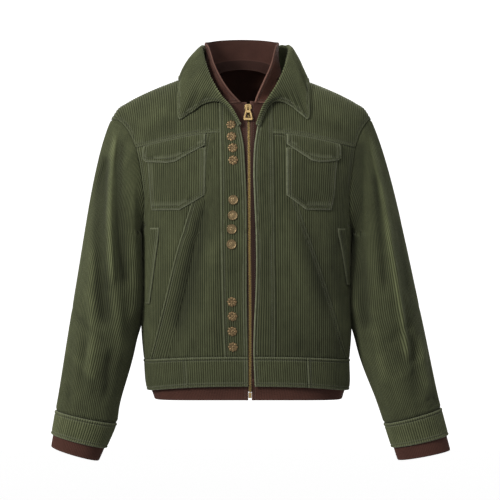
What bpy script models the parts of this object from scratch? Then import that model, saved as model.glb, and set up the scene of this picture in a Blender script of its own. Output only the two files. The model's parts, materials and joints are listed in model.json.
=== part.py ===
"""Corduroy jacket over a mock inner layer, hollow, as it hangs on a wearer's shoulders.

Blender 4.5. The tables are in millimetres and the model in metres, +Z up, front towards -Y.
The origin is at the base of the neck, between the shoulders that carry the jacket.
"Right" and "left" are the wearer's, so the right half is at -X.

The trunk is one smooth form, body_point(turn, level). turn is the angle round it, from the front
centre towards +X. level is the height over the underarm in millimetres where it is negative, and
where it is positive it climbs the arch over the shoulders, which ends at ARCH on the ridge.
Each sewn piece is a stretch of that form, with a gap of SEAM_GAP to the next one.
"""

import math
from collections import namedtuple

import bmesh
import bpy
import numpy as np
from mathutils import Matrix, Vector

MM = 0.001
WALL = 2.0  # corduroy
RIB_WALL = 1.6  # brown inner cloth
SEAM_GAP = 0.3
PANEL_GAP = 1.0  # between a panel and what is sewn onto it
RIGHT, LEFT = -1, 1
SIDE_NAMES = {RIGHT: "right", LEFT: "left"}

# ---------------------------------------------------------------- the trunk's form

UNDERARM = -283.0
ARCH = 250.0  # the level of the shoulder ridge
MID_DEPTH = 4.0  # where front and back meet, behind the origin
ROUND = 2.8  # how square a level's outline is: 2 is an ellipse
FRONT_ARCH = 3.0  # how square the rise to the shoulder is, at the front and at the back
BACK_ARCH = 3.4

Trunk = namedtuple("Trunk", "level centre half front back drop")
TRUNK = (
    Trunk(-304, -3, 172.5, 106, 104, 3),
    Trunk(-277, -3.5, 184.5, 112, 112, 12),
    Trunk(-224, -6, 189, 115, 114, 9),
    Trunk(-180, -6.5, 193, 119, 115, 4),
    Trunk(-110, -6.5, 192, 123, 112, 0),
    Trunk(-50, -6.5, 192, 125, 113, 0),
    Trunk(0, -6, 195, 124, 117, 0),
    Trunk(42, -6.5, 207, 116, 120, 0),
    Trunk(100, -9, 223, 96, 120, 0),
    Trunk(160, -11.5, 233, 90, 116, 0),
    Trunk(205, -14.5, 239.5, 87, 112, 0),
    Trunk(ARCH, -17, 240, 84, 108, 0),
)

Ridge = namedtuple("Ridge", "reach height")
RIDGE = (
    Ridge(-40, 34),
    Ridge(0, 42),
    Ridge(40, 34),
    Ridge(80, 14),
    Ridge(117, -1.5),
    Ridge(152, -15),
    Ridge(186, -30),
    Ridge(212, -44),
    Ridge(228, -55),
    Ridge(240, -74),
)

# Soft troughs (inward, positive depth) and ridges (negative) on the front, from one end to the other.
Fold = namedtuple("Fold", "x0 z0 x1 z1 width depth")
FRONT_FOLDS = (
    Fold(-88, -268, -130, -455, 16, 5.0),
    Fold(-60, -300, -70, -460, 14, -1.5),
    Fold(98, -275, 150, -440, 15, 3.5),
    Fold(74, -262, 100, -420, 18, -2.0),
    Fold(152, -410, 176, -470, 13, -2.0),
)
BACK_FOLDS = (
    Fold(-170, -200, -120, -330, 20, 4.0),
    Fold(160, -190, 104, -340, 20, 4.5),
    Fold(-60, -330, -86, -470, 18, 3.5),
    Fold(52, -350, 70, -480, 16, 3.0),
    Fold(-6, -420, 4, -490, 22, -3.0),
)


def spline(keys, values):
    """A smooth curve through a table's column, level beyond its ends."""
    keys, values = np.array(keys, float), np.array(values, float)
    slopes = np.gradient(values, keys)

    def at(key):
        key = min(max(key, keys[0]), keys[-1])
        i = min(max(int(np.searchsorted(keys, key, side="right")) - 1, 0), len(keys) - 2)
        step = keys[i + 1] - keys[i]
        t = (key - keys[i]) / step
        start = (1 + 2 * t) * (1 - t) ** 2 * values[i] + t * (1 - t) ** 2 * step * slopes[i]
        end = t * t * (3 - 2 * t) * values[i + 1] + t * t * (t - 1) * step * slopes[i + 1]
        return start + end

    return at


def columns(table):
    """A table's later columns as curves over its first one, by name."""
    names = table[0]._fields
    keys = [row[0] for row in table]
    return {n: spline(keys, [getattr(row, n) for row in table]) for n in names[1:]}


TRUNK_AT = columns(TRUNK)
RIDGE_AT = columns(RIDGE)["height"]


def trunk_at(level):
    """The trunk's row at a level."""
    return Trunk(level, *(TRUNK_AT[n](level) for n in Trunk._fields[1:]))


def signed_power(value, power):
    return math.copysign(abs(value) ** power, value)


def fold_depth(x, z, folds):
    """How far the folds push the cloth in at a place of the front view."""
    total = 0.0
    for f in folds:
        along = np.array([f.x1 - f.x0, f.z1 - f.z0])
        length = np.linalg.norm(along)
        offset = np.array([x - f.x0, z - f.z0])
        share = float(offset @ along) / length**2
        away = abs(float(offset[0] * along[1] - offset[1] * along[0])) / length
        fade = 1 / (1 + math.exp(-14 * share)) / (1 + math.exp(14 * (share - 1)))
        total += f.depth * fade * math.exp(-((away / f.width) ** 2))
    return total


def body_point(turn, level):
    """A point of the trunk's outer face, in millimetres. turn is in radians."""
    row = trunk_at(level)
    across = row.half * signed_power(math.sin(turn), 2 / ROUND)
    fore = signed_power(math.cos(turn), 2 / ROUND)
    front = fore >= 0
    x = row.centre + across
    if level <= 0:
        z = UNDERARM + level - row.drop * math.sin(turn) ** 2
        reach = 1.0
    else:
        lift = min(level / ARCH, 1.0) * math.pi / 2
        power = FRONT_ARCH if front else BACK_ARCH
        z = UNDERARM + (RIDGE_AT(abs(across)) - UNDERARM) * math.sin(lift) ** (2 / power)
        reach = max(math.cos(lift), 0.0) ** (2 / power)
    y = MID_DEPTH - (row.front if front else row.back) * fore * reach
    pressed = fold_depth(x, z, FRONT_FOLDS if front else BACK_FOLDS) * min(1.0, abs(fore) * reach * 2)
    return np.array([x, y + (pressed if front else -pressed), z])


def unit(v):
    return v / np.linalg.norm(v)


def body_normal(turn, level):
    """The trunk's outward direction at a place."""
    step, climb = 0.012, 1.5
    level = min(max(level, TRUNK[0].level + climb), 0.93 * ARCH)
    around = body_point(turn + step, level) - body_point(turn - step, level)
    up = body_point(turn, level + climb) - body_point(turn, level - climb)
    return unit(np.cross(around, up))


def reach_spot(across, z, front=True):
    """The (turn, level) of the point at a height and a reach from the centre, on the front or the back."""
    share = 1.0
    if z > UNDERARM:
        rise = min((z - UNDERARM) / (RIDGE_AT(abs(across)) - UNDERARM), 1.0)
        level = math.asin(rise ** ((FRONT_ARCH if front else BACK_ARCH) / 2)) / (math.pi / 2) * ARCH
        share = min(abs(across) / trunk_at(level).half, 1.0)
    else:
        level = z - UNDERARM
        for _ in range(6):
            row = trunk_at(level)
            share = min(abs(across) / row.half, 1.0)
            level = z - UNDERARM + row.drop * share**ROUND
    turn = math.copysign(math.asin(share ** (ROUND / 2)), across)
    return (turn, level) if front else (math.pi * (1 if turn >= 0 else -1) - turn, level)


def body_spot(x, z, front=True):
    """The (turn, level) of the trunk's point that shows at x, z from the front or the back."""
    centre = trunk_at(z - UNDERARM).centre
    for _ in range(8):
        spot = reach_spot(x - centre, z, front)
        centre = trunk_at(spot[1]).centre
    return spot


# ---------------------------------------------------------------- seam lines of the trunk

WAIST_LEVEL = -223.0  # the waistband's seam
HEM_LEVEL = -277.0

FrontEdge = namedtuple("FrontEdge", "height right left")
FRONT_EDGE = (
    FrontEdge(-566, -3, 9),
    FrontEdge(-493, -4, 6),
    FrontEdge(-440, -5, 7.5),
    FrontEdge(-385, -5.5, 10),
    FrontEdge(-278, -5.5, 10),
    FrontEdge(-224, -6, 7.5),
    FrontEdge(-160, -9, 6),
    FrontEdge(-125, -11.5, 8),
    FrontEdge(-92, -18, 13),
)

Seam = namedtuple("Seam", "height centre half")
PLACKET_SEAM = (
    Seam(-510, -0.5, 45.5),
    Seam(-458, -1.5, 47),
    Seam(-314, -4, 48),
    Seam(-135, -6, 48),
    Seam(-42, -8, 48),
)
SIDE_FRONT_SEAM = (
    Seam(-520, -2, 182),
    Seam(-500, -2.5, 176),
    Seam(-413, -4, 152),
    Seam(-320, -8, 125),
    Seam(-239, -10, 98),
    Seam(-160, -8, 79),
    Seam(-104, -7, 71),
)
YokeSeam = namedtuple("YokeSeam", "reach height")
YOKE_SEAM = (YokeSeam(0, -103), YokeSeam(70, -104), YokeSeam(185, -125), YokeSeam(199.5, -128))

EDGE_AT = columns(FRONT_EDGE)
PLACKET_AT = columns(PLACKET_SEAM)
SIDE_FRONT_AT = columns(SIDE_FRONT_SEAM)
YOKE_AT = columns(YOKE_SEAM)["height"]

# Half of the neck seam, from the front end over the shoulder ridge to the back centre, with the
# collar's roll and free edge at the same stations. reach is from the collar's centre line.
# "front" stations lie on the front at their own heights. From "below" (the ridge) to "back", the
# heights of the seam and of the free edge are from the shoulder ridge.
# edge_lift is how far the free edge stands off the trunk.
Neck = namedtuple(
    "Neck", "part reach height roll_reach roll_depth roll_height edge_reach edge_height edge_lift wall"
)
NECK = (
    Neck("front", 15.5, -92, 13.6, -98, -88.0, 20.2, -93.5, 4.0, 0.6),
    Neck("front", 24.0, -74, 22.2, -96, -68.5, 28.6, -72.5, 4.2, 0.8),
    Neck("front", 33.5, -59, 30.8, -92, -52.0, 37.6, -57.0, 4.2, 1.0),
    Neck("front", 48.0, -42, 42.0, -86, -37.5, 53.4, -47.5, 4.2, 1.5),
    Neck("front", 58.5, -26, 55.0, -78, -16.3, 75.0, -52.0, 4.2, 1.8),
    Neck("front", 67.0, -11, 65.0, -67, 5.0, 98.0, -68.0, 4.2, 1.8),
    Neck("front", 74.0, 2, 72.6, -53, 28.0, 117.0, -77.5, 4.2, 1.8),
    Neck("below", 79.0, -6, 77.6, -33, 48.0, 119.5, -42.0, 5.0, 1.8),
    Neck("below", 81.0, -2.0, 79.4, -21, 55.5, 119.0, -18.0, 5.0, 1.8),
    Neck("below", 81.8, -0.6, 80.5, -11, 60.0, 118.6, -4.5, 5.0, 1.8),
    Neck("ridge", 82.0, 0, 81.0, -4, 62.0, 118.0, 0, 4.0, 1.8),
    Neck("back", 73.0, -2.5, 77.0, 28, 67.5, 113.0, -4, 4.5, 1.8),
    Neck("back", 60.0, -4.0, 66.0, 44, 69.0, 97.0, -13, 6.0, 1.8),
    Neck("back", 42.0, -6.5, 48.0, 57, 70.0, 73.0, -28, 8.0, 1.8),
    Neck("back", 22.0, -9.5, 25.0, 65, 71.0, 38.0, -44, 10.0, 1.8),
    Neck("back", 0.0, -11, 0.0, 68, 71.5, 0.0, -54, 11.0, 1.8),
)
RIDGE_STATION = 10
PLACKET_STATIONS = 3  # the neck stations up to the placket seam

CollarCentre = namedtuple("CollarCentre", "height x")
COLLAR_CENTRE = (CollarCentre(-125, -1.5), CollarCentre(-92, -2.5), CollarCentre(-66, -4.5), CollarCentre(-40, -8))
COLLAR_CENTRE_AT = columns(COLLAR_CENTRE)["x"]
EdgeCentre = namedtuple("EdgeCentre", "reach x")
EDGE_CENTRE = (EdgeCentre(0, -10), EdgeCentre(18, -2.5), EdgeCentre(53, -6.8), EdgeCentre(98, -9.0), EdgeCentre(119, -11.5))
EDGE_CENTRE_AT = columns(EDGE_CENTRE)["x"]

# Half of the armhole, from the shoulder point down the front. reach is from the trunk's centre line.
Armhole = namedtuple("Armhole", "reach height")
ARMHOLE_FRONT = (
    Armhole(239.2, -73.8),
    Armhole(237.5, -73.5),
    Armhole(234, -74.2),
    Armhole(227, -78.5),
    Armhole(219, -87),
    Armhole(212, -97.5),
    Armhole(205.5, -112),
    Armhole(199.5, -128),
    Armhole(195.5, -147),
    Armhole(192, -168),
    Armhole(189, -190),
    Armhole(186.5, -212),
    Armhole(185.5, -233),
    Armhole(186.5, -254),
    Armhole(190, -272),
)
YOKE_ROWS = 8  # armhole steps between the shoulder point and the yoke seam
HALF_LOOP = len(ARMHOLE_FRONT) + 1


def armhole_spots(side):
    """The (turn, level) of each point of an armhole: shoulder, front, underarm, back."""

    shoulder = (side * math.pi / 2, ARCH)
    underarm = (side * math.pi / 2, 0.0)
    front = [reach_spot(side * row.reach, row.height) for row in ARMHOLE_FRONT]
    back = [reach_spot(side * row.reach, row.height, front=False) for row in reversed(ARMHOLE_FRONT)]
    return [shoulder, *front, underarm, *back]


def shoulder_spot(part, x, height):
    """The (turn, level) at x: on the front, on the shoulder ridge, or on the back below the ridge."""
    top = trunk_at(ARCH)
    if part == "front":
        return body_spot(x, height)
    if part == "ridge":
        across = x - top.centre
        return (math.copysign(math.asin((abs(across) / top.half) ** (ROUND / 2)), across), ARCH)
    return body_spot(x, RIDGE_AT(abs(x - top.centre)) + height, front=part == "below")


def neck_spot(row, side):
    """The (turn, level) of a station of the neck seam."""
    centre = COLLAR_CENTRE_AT(row.height if row.part == "front" else 0)
    return shoulder_spot(row.part, centre + side * row.reach, row.height)


# ---------------------------------------------------------------- making walls


def wall_object(name, outer, inner, material, ring=False):
    """One closed wall between two grids of points, outer and inner, of rows and columns.

    With ring, the columns close round a tube and only the two end rows have rims. Both skins are
    split along the same diagonals, the outer skin's shorter ones, so that they stay parallel.
    """
    rows, count = len(outer), len(outer[0])
    points = [np.asarray(p, float) for grid in (outer, inner) for row in grid for p in row]
    under = rows * count
    faces = []

    def at(r, c):
        return r * count + c % count

    def split(a, b, c, d, skin=False):
        if skin and np.linalg.norm(points[a] - points[c]) > np.linalg.norm(points[b] - points[d]):
            a, b, c, d = b, c, d, a
        for face in ((a, b, c), (a, c, d)):
            faces.append(face)
            if skin:
                faces.append(tuple(under + i for i in reversed(face)))

    for r in range(rows - 1):
        for c in range(count if ring else count - 1):
            split(at(r, c), at(r, c + 1), at(r + 1, c + 1), at(r + 1, c), skin=True)
    for c in range(count if ring else count - 1):
        low, high = (at(0, c), at(0, c + 1)), (at(rows - 1, c), at(rows - 1, c + 1))
        split(low[1], low[0], under + low[0], under + low[1])
        split(high[0], high[1], under + high[1], under + high[0])
    for r in range(0 if ring else rows - 1):
        near, far = (at(r, 0), at(r + 1, 0)), (at(r, count - 1), at(r + 1, count - 1))
        split(near[0], near[1], under + near[1], under + near[0])
        split(far[1], far[0], under + far[0], under + far[1])
    mesh = bpy.data.meshes.new(name)
    mesh.from_pydata([tuple(float(x) * MM for x in p) for p in points], [], faces)
    made = bmesh.new()
    made.from_mesh(mesh)
    if made.calc_volume(signed=True) < 0:
        bmesh.ops.reverse_faces(made, faces=made.faces)
    made.to_mesh(mesh)
    made.free()
    mesh.shade_smooth()
    mesh.set_sharp_from_angle(angle=math.radians(50))
    return place(bpy.data.objects.new(name, mesh), material)


def place(obj, material):
    """Gives an object its material and puts it in the jacket's collection."""
    obj.data.materials.append(material)
    bpy.data.collections["corduroy_jacket"].objects.link(obj)
    return obj


def body_wall(name, spots, material, out=0.0, wall=WALL, shared=None):
    """A wall on the trunk through a grid of (turn, level) spots.

    out is how far its outer face stands off the trunk's, one number or one for each row.
    shared gives, by (row, column), the outer and inner point of a seam with another form.
    """
    outer, inner = [], []
    for r, row in enumerate(spots):
        stand = out[r] if isinstance(out, (list, tuple)) else out
        outer.append([])
        inner.append([])
        for c, (turn, level) in enumerate(row):
            point, normal = body_point(turn, level), body_normal(turn, level)
            over, below = point + normal * stand, point + normal * (stand - wall)
            if shared and (r, c) in shared:
                over, below = shared[r, c]
            outer[-1].append(over)
            inner[-1].append(below)
    return wall_object(name, outer, inner, material)


def mix(a, b, share):
    return tuple((1 - share) * p + share * q for p, q in zip(a, b))


def shares(count):
    return [i / count for i in range(count + 1)]


def patch(bottom, top, first, last):
    """A grid of spots inside four edges (a Coons patch).

    bottom and top run along the columns, first and last up the rows. The rows blend by how far
    first and last have climbed, so that rows set close together at the edges stay in order inside.
    """
    rows, cols = len(first) - 1, len(bottom) - 1

    def climbed(edge, r):
        return (edge[r][1] - edge[0][1]) / (edge[-1][1] - edge[0][1])

    grid = []
    for r in range(rows + 1):
        v = (climbed(first, r) + climbed(last, r)) / 2
        grid.append([])
        for c in range(cols + 1):
            u = c / cols
            edges = [
                (1 - v) * bottom[c][k] + v * top[c][k] + (1 - u) * first[r][k] + u * last[r][k] for k in (0, 1)
            ]
            corners = [
                (1 - u) * (1 - v) * bottom[0][k] + u * (1 - v) * bottom[-1][k]
                + (1 - u) * v * top[0][k] + u * v * top[-1][k]
                for k in (0, 1)
            ]
            grid[-1].append((edges[0] - corners[0], edges[1] - corners[1]))
    return grid


# ---------------------------------------------------------------- sleeves

# Each row is a ring of the sleeve: its outer and inner point in the front view, its middle's
# depth and its half depth. The rows are one step apart, and the first is step 1.
SleeveRing = namedtuple("SleeveRing", "outer_x outer_z inner_x inner_z depth half_depth")
SLEEVE_RINGS = {
    RIGHT: (
        SleeveRing(317, -359, 204, -386, -8, 78),
        SleeveRing(333, -462, 211.5, -491, -18, 69),
        SleeveRing(348, -564, 237.5, -590, -32, 54),
        SleeveRing(355, -607, 244.5, -631, -38, 47),
        SleeveRing(362, -650, 263, -676, -44, 41),
    ),
    LEFT: (
        SleeveRing(299, -359, 191, -385, -8, 78),
        SleeveRing(320, -462, 197, -491, -18, 69),
        SleeveRing(340, -564, 232, -590, -32, 54),
        SleeveRing(349, -603, 245.5, -631, -38, 47),
        SleeveRing(361.5, -652, 259.5, -675, -44, 41),
    ),
}
CUFF_STEP = 4.0  # the sleeve's end and the cuff's start
SLEEVE_CLEAR = 3.2  # between a sleeve and the trunk beside it

# Troughs along the sleeve: from an angle and step to another, half width in degrees, depth.
SleeveFold = namedtuple("SleeveFold", "angle0 step0 angle1 step1 width depth")
SLEEVE_FOLDS = (
    SleeveFold(62, 0.15, 70, 2.2, 9, -4.0),
    SleeveFold(88, 0.10, 98, 1.1, 12, 4.5),
    SleeveFold(40, 0.25, 44, 2.4, 13, 3.5),
    SleeveFold(20, 1.6, 95, 2.0, 16, 3.0),
    SleeveFold(30, 2.3, 110, 2.7, 14, -2.5),
    SleeveFold(300, 0.20, 292, 2.0, 13, 4.0),
    SleeveFold(340, 1.7, 262, 2.0, 15, 3.5),
    SleeveFold(250, 2.4, 320, 2.9, 14, -2.5),
)


def sleeve_ring(side, step, angle):
    """A point of a sleeve below its head, before folds. angle is 0 outside, 90 degrees at the front."""
    rows = SLEEVE_RINGS[side]
    row = SleeveRing(*(spline(range(1, 6), [r[k] for r in rows])(min(step, 5.0)) for k in range(6)))
    outer = np.array([side * row.outer_x, row.depth, row.outer_z])
    inner = np.array([side * row.inner_x, row.depth, row.inner_z])
    middle, reach = (outer + inner) / 2, (outer - inner) / 2
    point = middle + reach * math.cos(angle) + np.array([0, -row.half_depth * math.sin(angle), 0])
    if step > 5:
        point = point + (point - sleeve_ring(side, 4.5, angle)) * (step - 5) / 0.5
    return point


def sleeve_start(side, angle):
    """Which way the cloth leaves the armhole, at an angle round it from the shoulder."""
    low = (1 - math.cos(angle)) / 2
    return unit(np.array([side * (0.42 + 0.6 * low), -0.35 * math.sin(angle), -(0.92 - 0.86 * low)]))


def clear_of_trunk(point, side):
    """Moves a sleeve's point outwards until it clears the trunk beside it."""
    x, y, z = point
    if z > UNDERARM:
        return point
    row = trunk_at(z - UNDERARM)
    share = abs(y - MID_DEPTH) / (row.front if y < MID_DEPTH else row.back)
    if share >= 1:
        return point
    gap = min(SLEEVE_CLEAR, 0.5 * (UNDERARM - z))
    edge = row.half * (1 - share**ROUND) ** (1 / ROUND) + gap
    reach = max(side * (x - row.centre), edge)
    return np.array([row.centre + side * reach, y, z])


def sleeve_fold(step, angle):
    """How far a sleeve's folds push in at a place."""
    total = 0.0
    turn = math.degrees(angle) % 360
    for f in SLEEVE_FOLDS:
        share = (step - f.step0) / (f.step1 - f.step0)
        fade = 1 / (1 + math.exp(-10 * share)) / (1 + math.exp(10 * (share - 1)))
        near = f.angle0 + (f.angle1 - f.angle0) * min(max(share, 0), 1)
        away = (turn - near + 180) % 360 - 180
        total += f.depth * fade * math.exp(-((away / f.width) ** 2))
    return total


def sleeve_point(side, step, index, loop):
    """A sleeve's point: step 0 is the armhole, 1 the first ring, 5 the cuff's end."""
    angle = 2 * math.pi * index / len(loop)
    if step >= 1:
        point = sleeve_ring(side, step, angle)
    else:
        start, end = loop[index], sleeve_ring(side, 1, angle)
        length = np.linalg.norm(end - start)
        leave = sleeve_start(side, angle) * length * (0.75 - 0.25 * (1 - math.cos(angle)) / 2)
        arrive = unit(sleeve_ring(side, 1.1, angle) - end) * length
        t = step
        point = (
            (1 + 2 * t) * (1 - t) ** 2 * start
            + t * (1 - t) ** 2 * leave
            + t * t * (3 - 2 * t) * end
            + t * t * (t - 1) * arrive
        )
    if step > 0:
        row = SLEEVE_RINGS[side][0]
        middle = np.array([side * (row.outer_x + row.inner_x) / 2, point[1] * 0.3, point[2]])
        fade = min(1.0, step * 4)
        point = point - unit(point - middle) * sleeve_fold(step, angle) * fade
        point = clear_of_trunk(point, side)
    return point


def ring_inners(rings, steps, wall):
    """The inner points of a tube's rings, one wall inside along the tube's own normals."""
    grid = np.array(rings)
    around = np.roll(grid, -1, axis=1) - np.roll(grid, 1, axis=1)
    along = np.gradient(grid, np.array(steps, float), axis=0)
    normals = np.cross(around, along)
    normals /= np.linalg.norm(normals, axis=2, keepdims=True)
    middle = grid.mean(axis=1, keepdims=True)
    if ((grid - middle) * normals).sum() < 0:
        normals = -normals
    return grid - normals * wall


def armhole_seam(side):
    """The armhole's outer and inner points, as a mitre of the trunk's wall and the sleeve's, and the ways to both."""
    spots = armhole_spots(side)
    outer = np.array([body_point(*s) for s in spots])
    tangent = np.roll(outer, -1, axis=0) - np.roll(outer, 1, axis=0)
    centre = outer.mean(axis=0)
    seams = []
    for i, (spot, point) in enumerate(zip(spots, outer)):
        angle = 2 * math.pi * i / len(spots)
        body_in = -body_normal(*spot) if i else unit(np.array([-side, 0.0, -1.0]))
        leave = sleeve_start(side, angle)
        sleeve_in = unit(np.cross(tangent[i], leave))
        if sleeve_in @ (centre - point) < 0:
            sleeve_in = -sleeve_in
        mitre = (body_in + sleeve_in) / (1 + body_in @ sleeve_in)
        into_body = unit(np.cross(tangent[i], body_in))
        if into_body @ np.array([-side * 0.6, 0, math.cos(angle)]) < 0:
            into_body = -into_body
        seams.append((point, point + mitre * WALL, into_body, leave))
    return seams


# ---------------------------------------------------------------- pieces of the shell


def turn_at(x, level):
    """The turn of the front's point at x on a level below the underarm."""
    row = trunk_at(level)
    across = x - row.centre
    return math.copysign(math.asin((abs(across) / row.half) ** (ROUND / 2)), across)


WAIST_TOP = WAIST_LEVEL + SEAM_GAP / 2  # the shell's side of the waist seam
PANEL_ROWS = 15  # rows of the front panels, from the waist to the yoke


def panel_heights():
    """The heights of the front panels' rows. The first is replaced by the waist's level."""
    return [UNDERARM + WAIST_LEVEL + (YOKE_AT(60) - UNDERARM - WAIST_LEVEL) * s for s in shares(PANEL_ROWS)]


def panel_row(near, far, z, first, last, steps):
    """A row of spots from x near to x far: on the waist, along the yoke seam or at one height."""
    xs = [near(z) + (far(z) - near(z)) * c for c in shares(steps)]
    if first:
        return [(turn_at(x, WAIST_TOP), WAIST_TOP) for x in xs]
    if last:
        return [yoke_spot(x, -SEAM_GAP / 2) for x in xs]
    return [body_spot(x, z) for x in xs]


def yoke_spot(x, shift):
    """The spot of the yoke seam at x, shifted up or down."""
    return body_spot(x, YOKE_AT(abs(x - trunk_at(80).centre)) + shift)


def seam_x(table, side, shift):
    """A seam of the front as x over height, shifted from the centre."""
    return lambda z: table["centre"](z) + side * (table["half"](z) + shift)


def placket(side, material):
    """The front band, from the waist seam to the neck."""
    near, far = EDGE_AT[SIDE_NAMES[side]], seam_x(PLACKET_AT, side, -SEAM_GAP / 2)
    heights = panel_heights()
    spots = [panel_row(near, far, z, z == heights[0], False, PLACKET_STATIONS) for z in heights[:-1]]
    top = YOKE_AT(60)
    spots.append([body_spot(near(top) + (far(top) - near(top)) * c, top) for c in shares(PLACKET_STATIONS)])
    ends = [neck_spot(NECK[k], side) for k in range(PLACKET_STATIONS + 1)]
    x, _, z = body_point(*ends[-1])
    ends[-1] = body_spot(x - side * SEAM_GAP / 2, z)
    spots.append(ends)
    return body_wall(f"placket_{SIDE_NAMES[side]}", spots, material)


def centre_front(side, material):
    """The wedge between the placket seam and the slanted side-front seam."""
    near, far = seam_x(PLACKET_AT, side, SEAM_GAP / 2), seam_x(SIDE_FRONT_AT, side, -SEAM_GAP / 2)
    heights = panel_heights()
    spots = [panel_row(near, far, z, z == heights[0], z == heights[-1], CENTRE_COLUMNS) for z in heights]
    return body_wall(f"centre_front_{SIDE_NAMES[side]}", spots, material)


CENTRE_COLUMNS = 4
SIDE_COLUMNS = 5
SIDE_LEVELS = (-185, -148, -112, -76, -42, -16)  # rows of the side and back below the underarm


def side_edge(side, seam, front):
    """Spots up a side seam and the armhole to the yoke seam (front) or the shoulder (back), and their shared points."""
    spots = armhole_spots(side)
    turn = side * (math.pi / 2 - 0.0009 if front else math.pi / 2 + 0.0009)
    edge = [(turn, WAIST_LEVEL + SEAM_GAP / 2), *((turn, level) for level in SIDE_LEVELS)]
    if front:
        order = range(HALF_LOOP, YOKE_ROWS - 1, -1)
    else:
        order = [*range(HALF_LOOP, 2 * HALF_LOOP), 0]
    shared = {}
    for k in order:
        point, inside, into_body, _ = seam[k]
        shift = into_body * SEAM_GAP / 2
        if k == HALF_LOOP:
            shift = shift + np.array([0, -SEAM_GAP / 2 if front else SEAM_GAP / 2, 0])
        if front and k == YOKE_ROWS:
            shift = shift - np.array([0, 0, SEAM_GAP / 2])
        shared[len(edge)] = (point + shift, inside + shift)
        edge.append(spots[k])
    return edge, shared


def side_front_top(side):
    """The side panel's spots under the yoke seam."""
    x0 = seam_x(SIDE_FRONT_AT, side, SEAM_GAP / 2)(YOKE_AT(70))
    x1 = body_point(*armhole_spots(side)[YOKE_ROWS])[0]
    return [yoke_spot(x0 + (x1 - x0) * c, -SEAM_GAP / 2) for c in shares(SIDE_COLUMNS)]


def side_front(side, material, seam):
    """The side panel, from the slanted seam to the side seam and the armhole."""
    last, shared = side_edge(side, seam, True)
    top = side_front_top(side)
    near = seam_x(SIDE_FRONT_AT, side, SEAM_GAP / 2)
    first = [body_spot(near(z), z) for z in panel_heights()]
    first[0] = (turn_at(near(UNDERARM + WAIST_LEVEL), WAIST_TOP), WAIST_TOP)
    first[-1] = top[0]
    bottom = [mix(first[0], last[0], c) for c in shares(SIDE_COLUMNS)]
    grid = patch(bottom, top, first, last)
    ends = {(r, SIDE_COLUMNS): points for r, points in shared.items()}
    return body_wall(f"side_front_{SIDE_NAMES[side]}", grid, material, shared=ends)


SHOULDER_STEPS = 2 + SIDE_COLUMNS  # two columns of the yoke stand over the centre front's


def shoulder_line(side):
    """Spots on the shoulder ridge, from the neck to the shoulder point."""
    top = trunk_at(ARCH)
    first = side * (body_point(*neck_spot(NECK[RIDGE_STATION], side))[0] - top.centre)
    xs = [first + (top.half - first) * s for s in shares(SHOULDER_STEPS)]
    return [(side * math.asin((x / top.half) ** (ROUND / 2)), ARCH) for x in xs]


def yoke(side, material, seam):
    """The front yoke, from the yoke seam up to the shoulder seam."""
    spots = armhole_spots(side)
    last = [spots[k] for k in range(YOKE_ROWS, -1, -1)]
    inner, outer = seam_x(PLACKET_AT, side, SEAM_GAP / 2)(YOKE_AT(60)), body_point(*side_front_top(side)[0])[0]
    xs = [inner, (inner + outer) / 2, *(body_point(*spot)[0] for spot in side_front_top(side))]
    bottom = [yoke_spot(x, SEAM_GAP / 2) for x in xs]
    neck = [neck_spot(NECK[k], side) for k in range(PLACKET_STATIONS, RIDGE_STATION + 1)]
    x, _, z = body_point(*neck[0])
    neck[0] = body_spot(x + side * SEAM_GAP / 2, z)
    first = [bottom[0], *neck]
    grid = patch(bottom, shoulder_line(side), first, last)
    shared = {}
    shift_front = np.array([0, -SEAM_GAP / 2, 0])
    for row, k in enumerate(range(YOKE_ROWS, -1, -1)):
        point, inside, into_body, _ = seam[k]
        shift = into_body * SEAM_GAP / 2 + (shift_front if k == 0 else 0)
        if k == YOKE_ROWS:
            shift = shift + np.array([0, 0, SEAM_GAP / 2])
        shared[row, SHOULDER_STEPS] = (point + shift, inside + shift)
    top = len(grid) - 1
    for c in range(SHOULDER_STEPS):
        turn, level = grid[top][c]
        point = body_point(turn, level) + shift_front
        shared[top, c] = (point, point - np.array([0, 0, WALL]))
    return body_wall(f"yoke_{SIDE_NAMES[side]}", grid, material, shared=shared)


def back_grid(seams):
    """The back's spots, its ridge's spots, and the points that it shares with the sleeves' seams."""
    right, shared_right = side_edge(RIGHT, seams[RIGHT], False)
    left, shared_left = side_edge(LEFT, seams[LEFT], False)
    turned = [(t + 2 * math.pi, level) for t, level in right]
    first, last = left, turned
    neck_left = [neck_spot(row, LEFT) for row in NECK[RIDGE_STATION + 1 :]]
    neck_right = [(t % (2 * math.pi), level) for t, level in (neck_spot(row, RIGHT) for row in NECK[RIDGE_STATION + 1 : -1])]
    ridge_left = [(math.pi - t, lv) for t, lv in shoulder_line(LEFT)]
    ridge_right = [(math.pi - t, lv) for t, lv in shoulder_line(RIGHT)]
    top = [*reversed(ridge_left), *neck_left, *reversed(neck_right), *ridge_right]
    count = len(top) - 1
    bottom = [(first[0][0] + (last[0][0] - first[0][0]) * c, WAIST_LEVEL + SEAM_GAP / 2) for c in shares(count)]
    shared = {(r, 0): p for r, p in shared_left.items()}
    shared.update({(r, count): p for r, p in shared_right.items()})
    return patch(bottom, top, first, last), top, shared


def back(material, seams):
    """The one-piece back, from side seam to side seam and from the waist to the shoulders."""
    grid, top, shared = back_grid(seams)
    count = len(top) - 1
    shift_back = np.array([0, SEAM_GAP / 2, 0])
    rows = len(grid) - 1
    for c in range(count + 1):
        ridge = c <= SHOULDER_STEPS or c >= count - SHOULDER_STEPS
        if ridge and (rows, c) not in shared:
            point = body_point(*top[c]) + shift_back
            shared[rows, c] = (point, point - np.array([0, 0, WALL]))
        elif (rows, c) in shared:
            outer, inner = shared[rows, c]
            shared[rows, c] = (outer + shift_back, inner + shift_back)
    return body_wall("back", grid, material, shared=shared)


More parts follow.
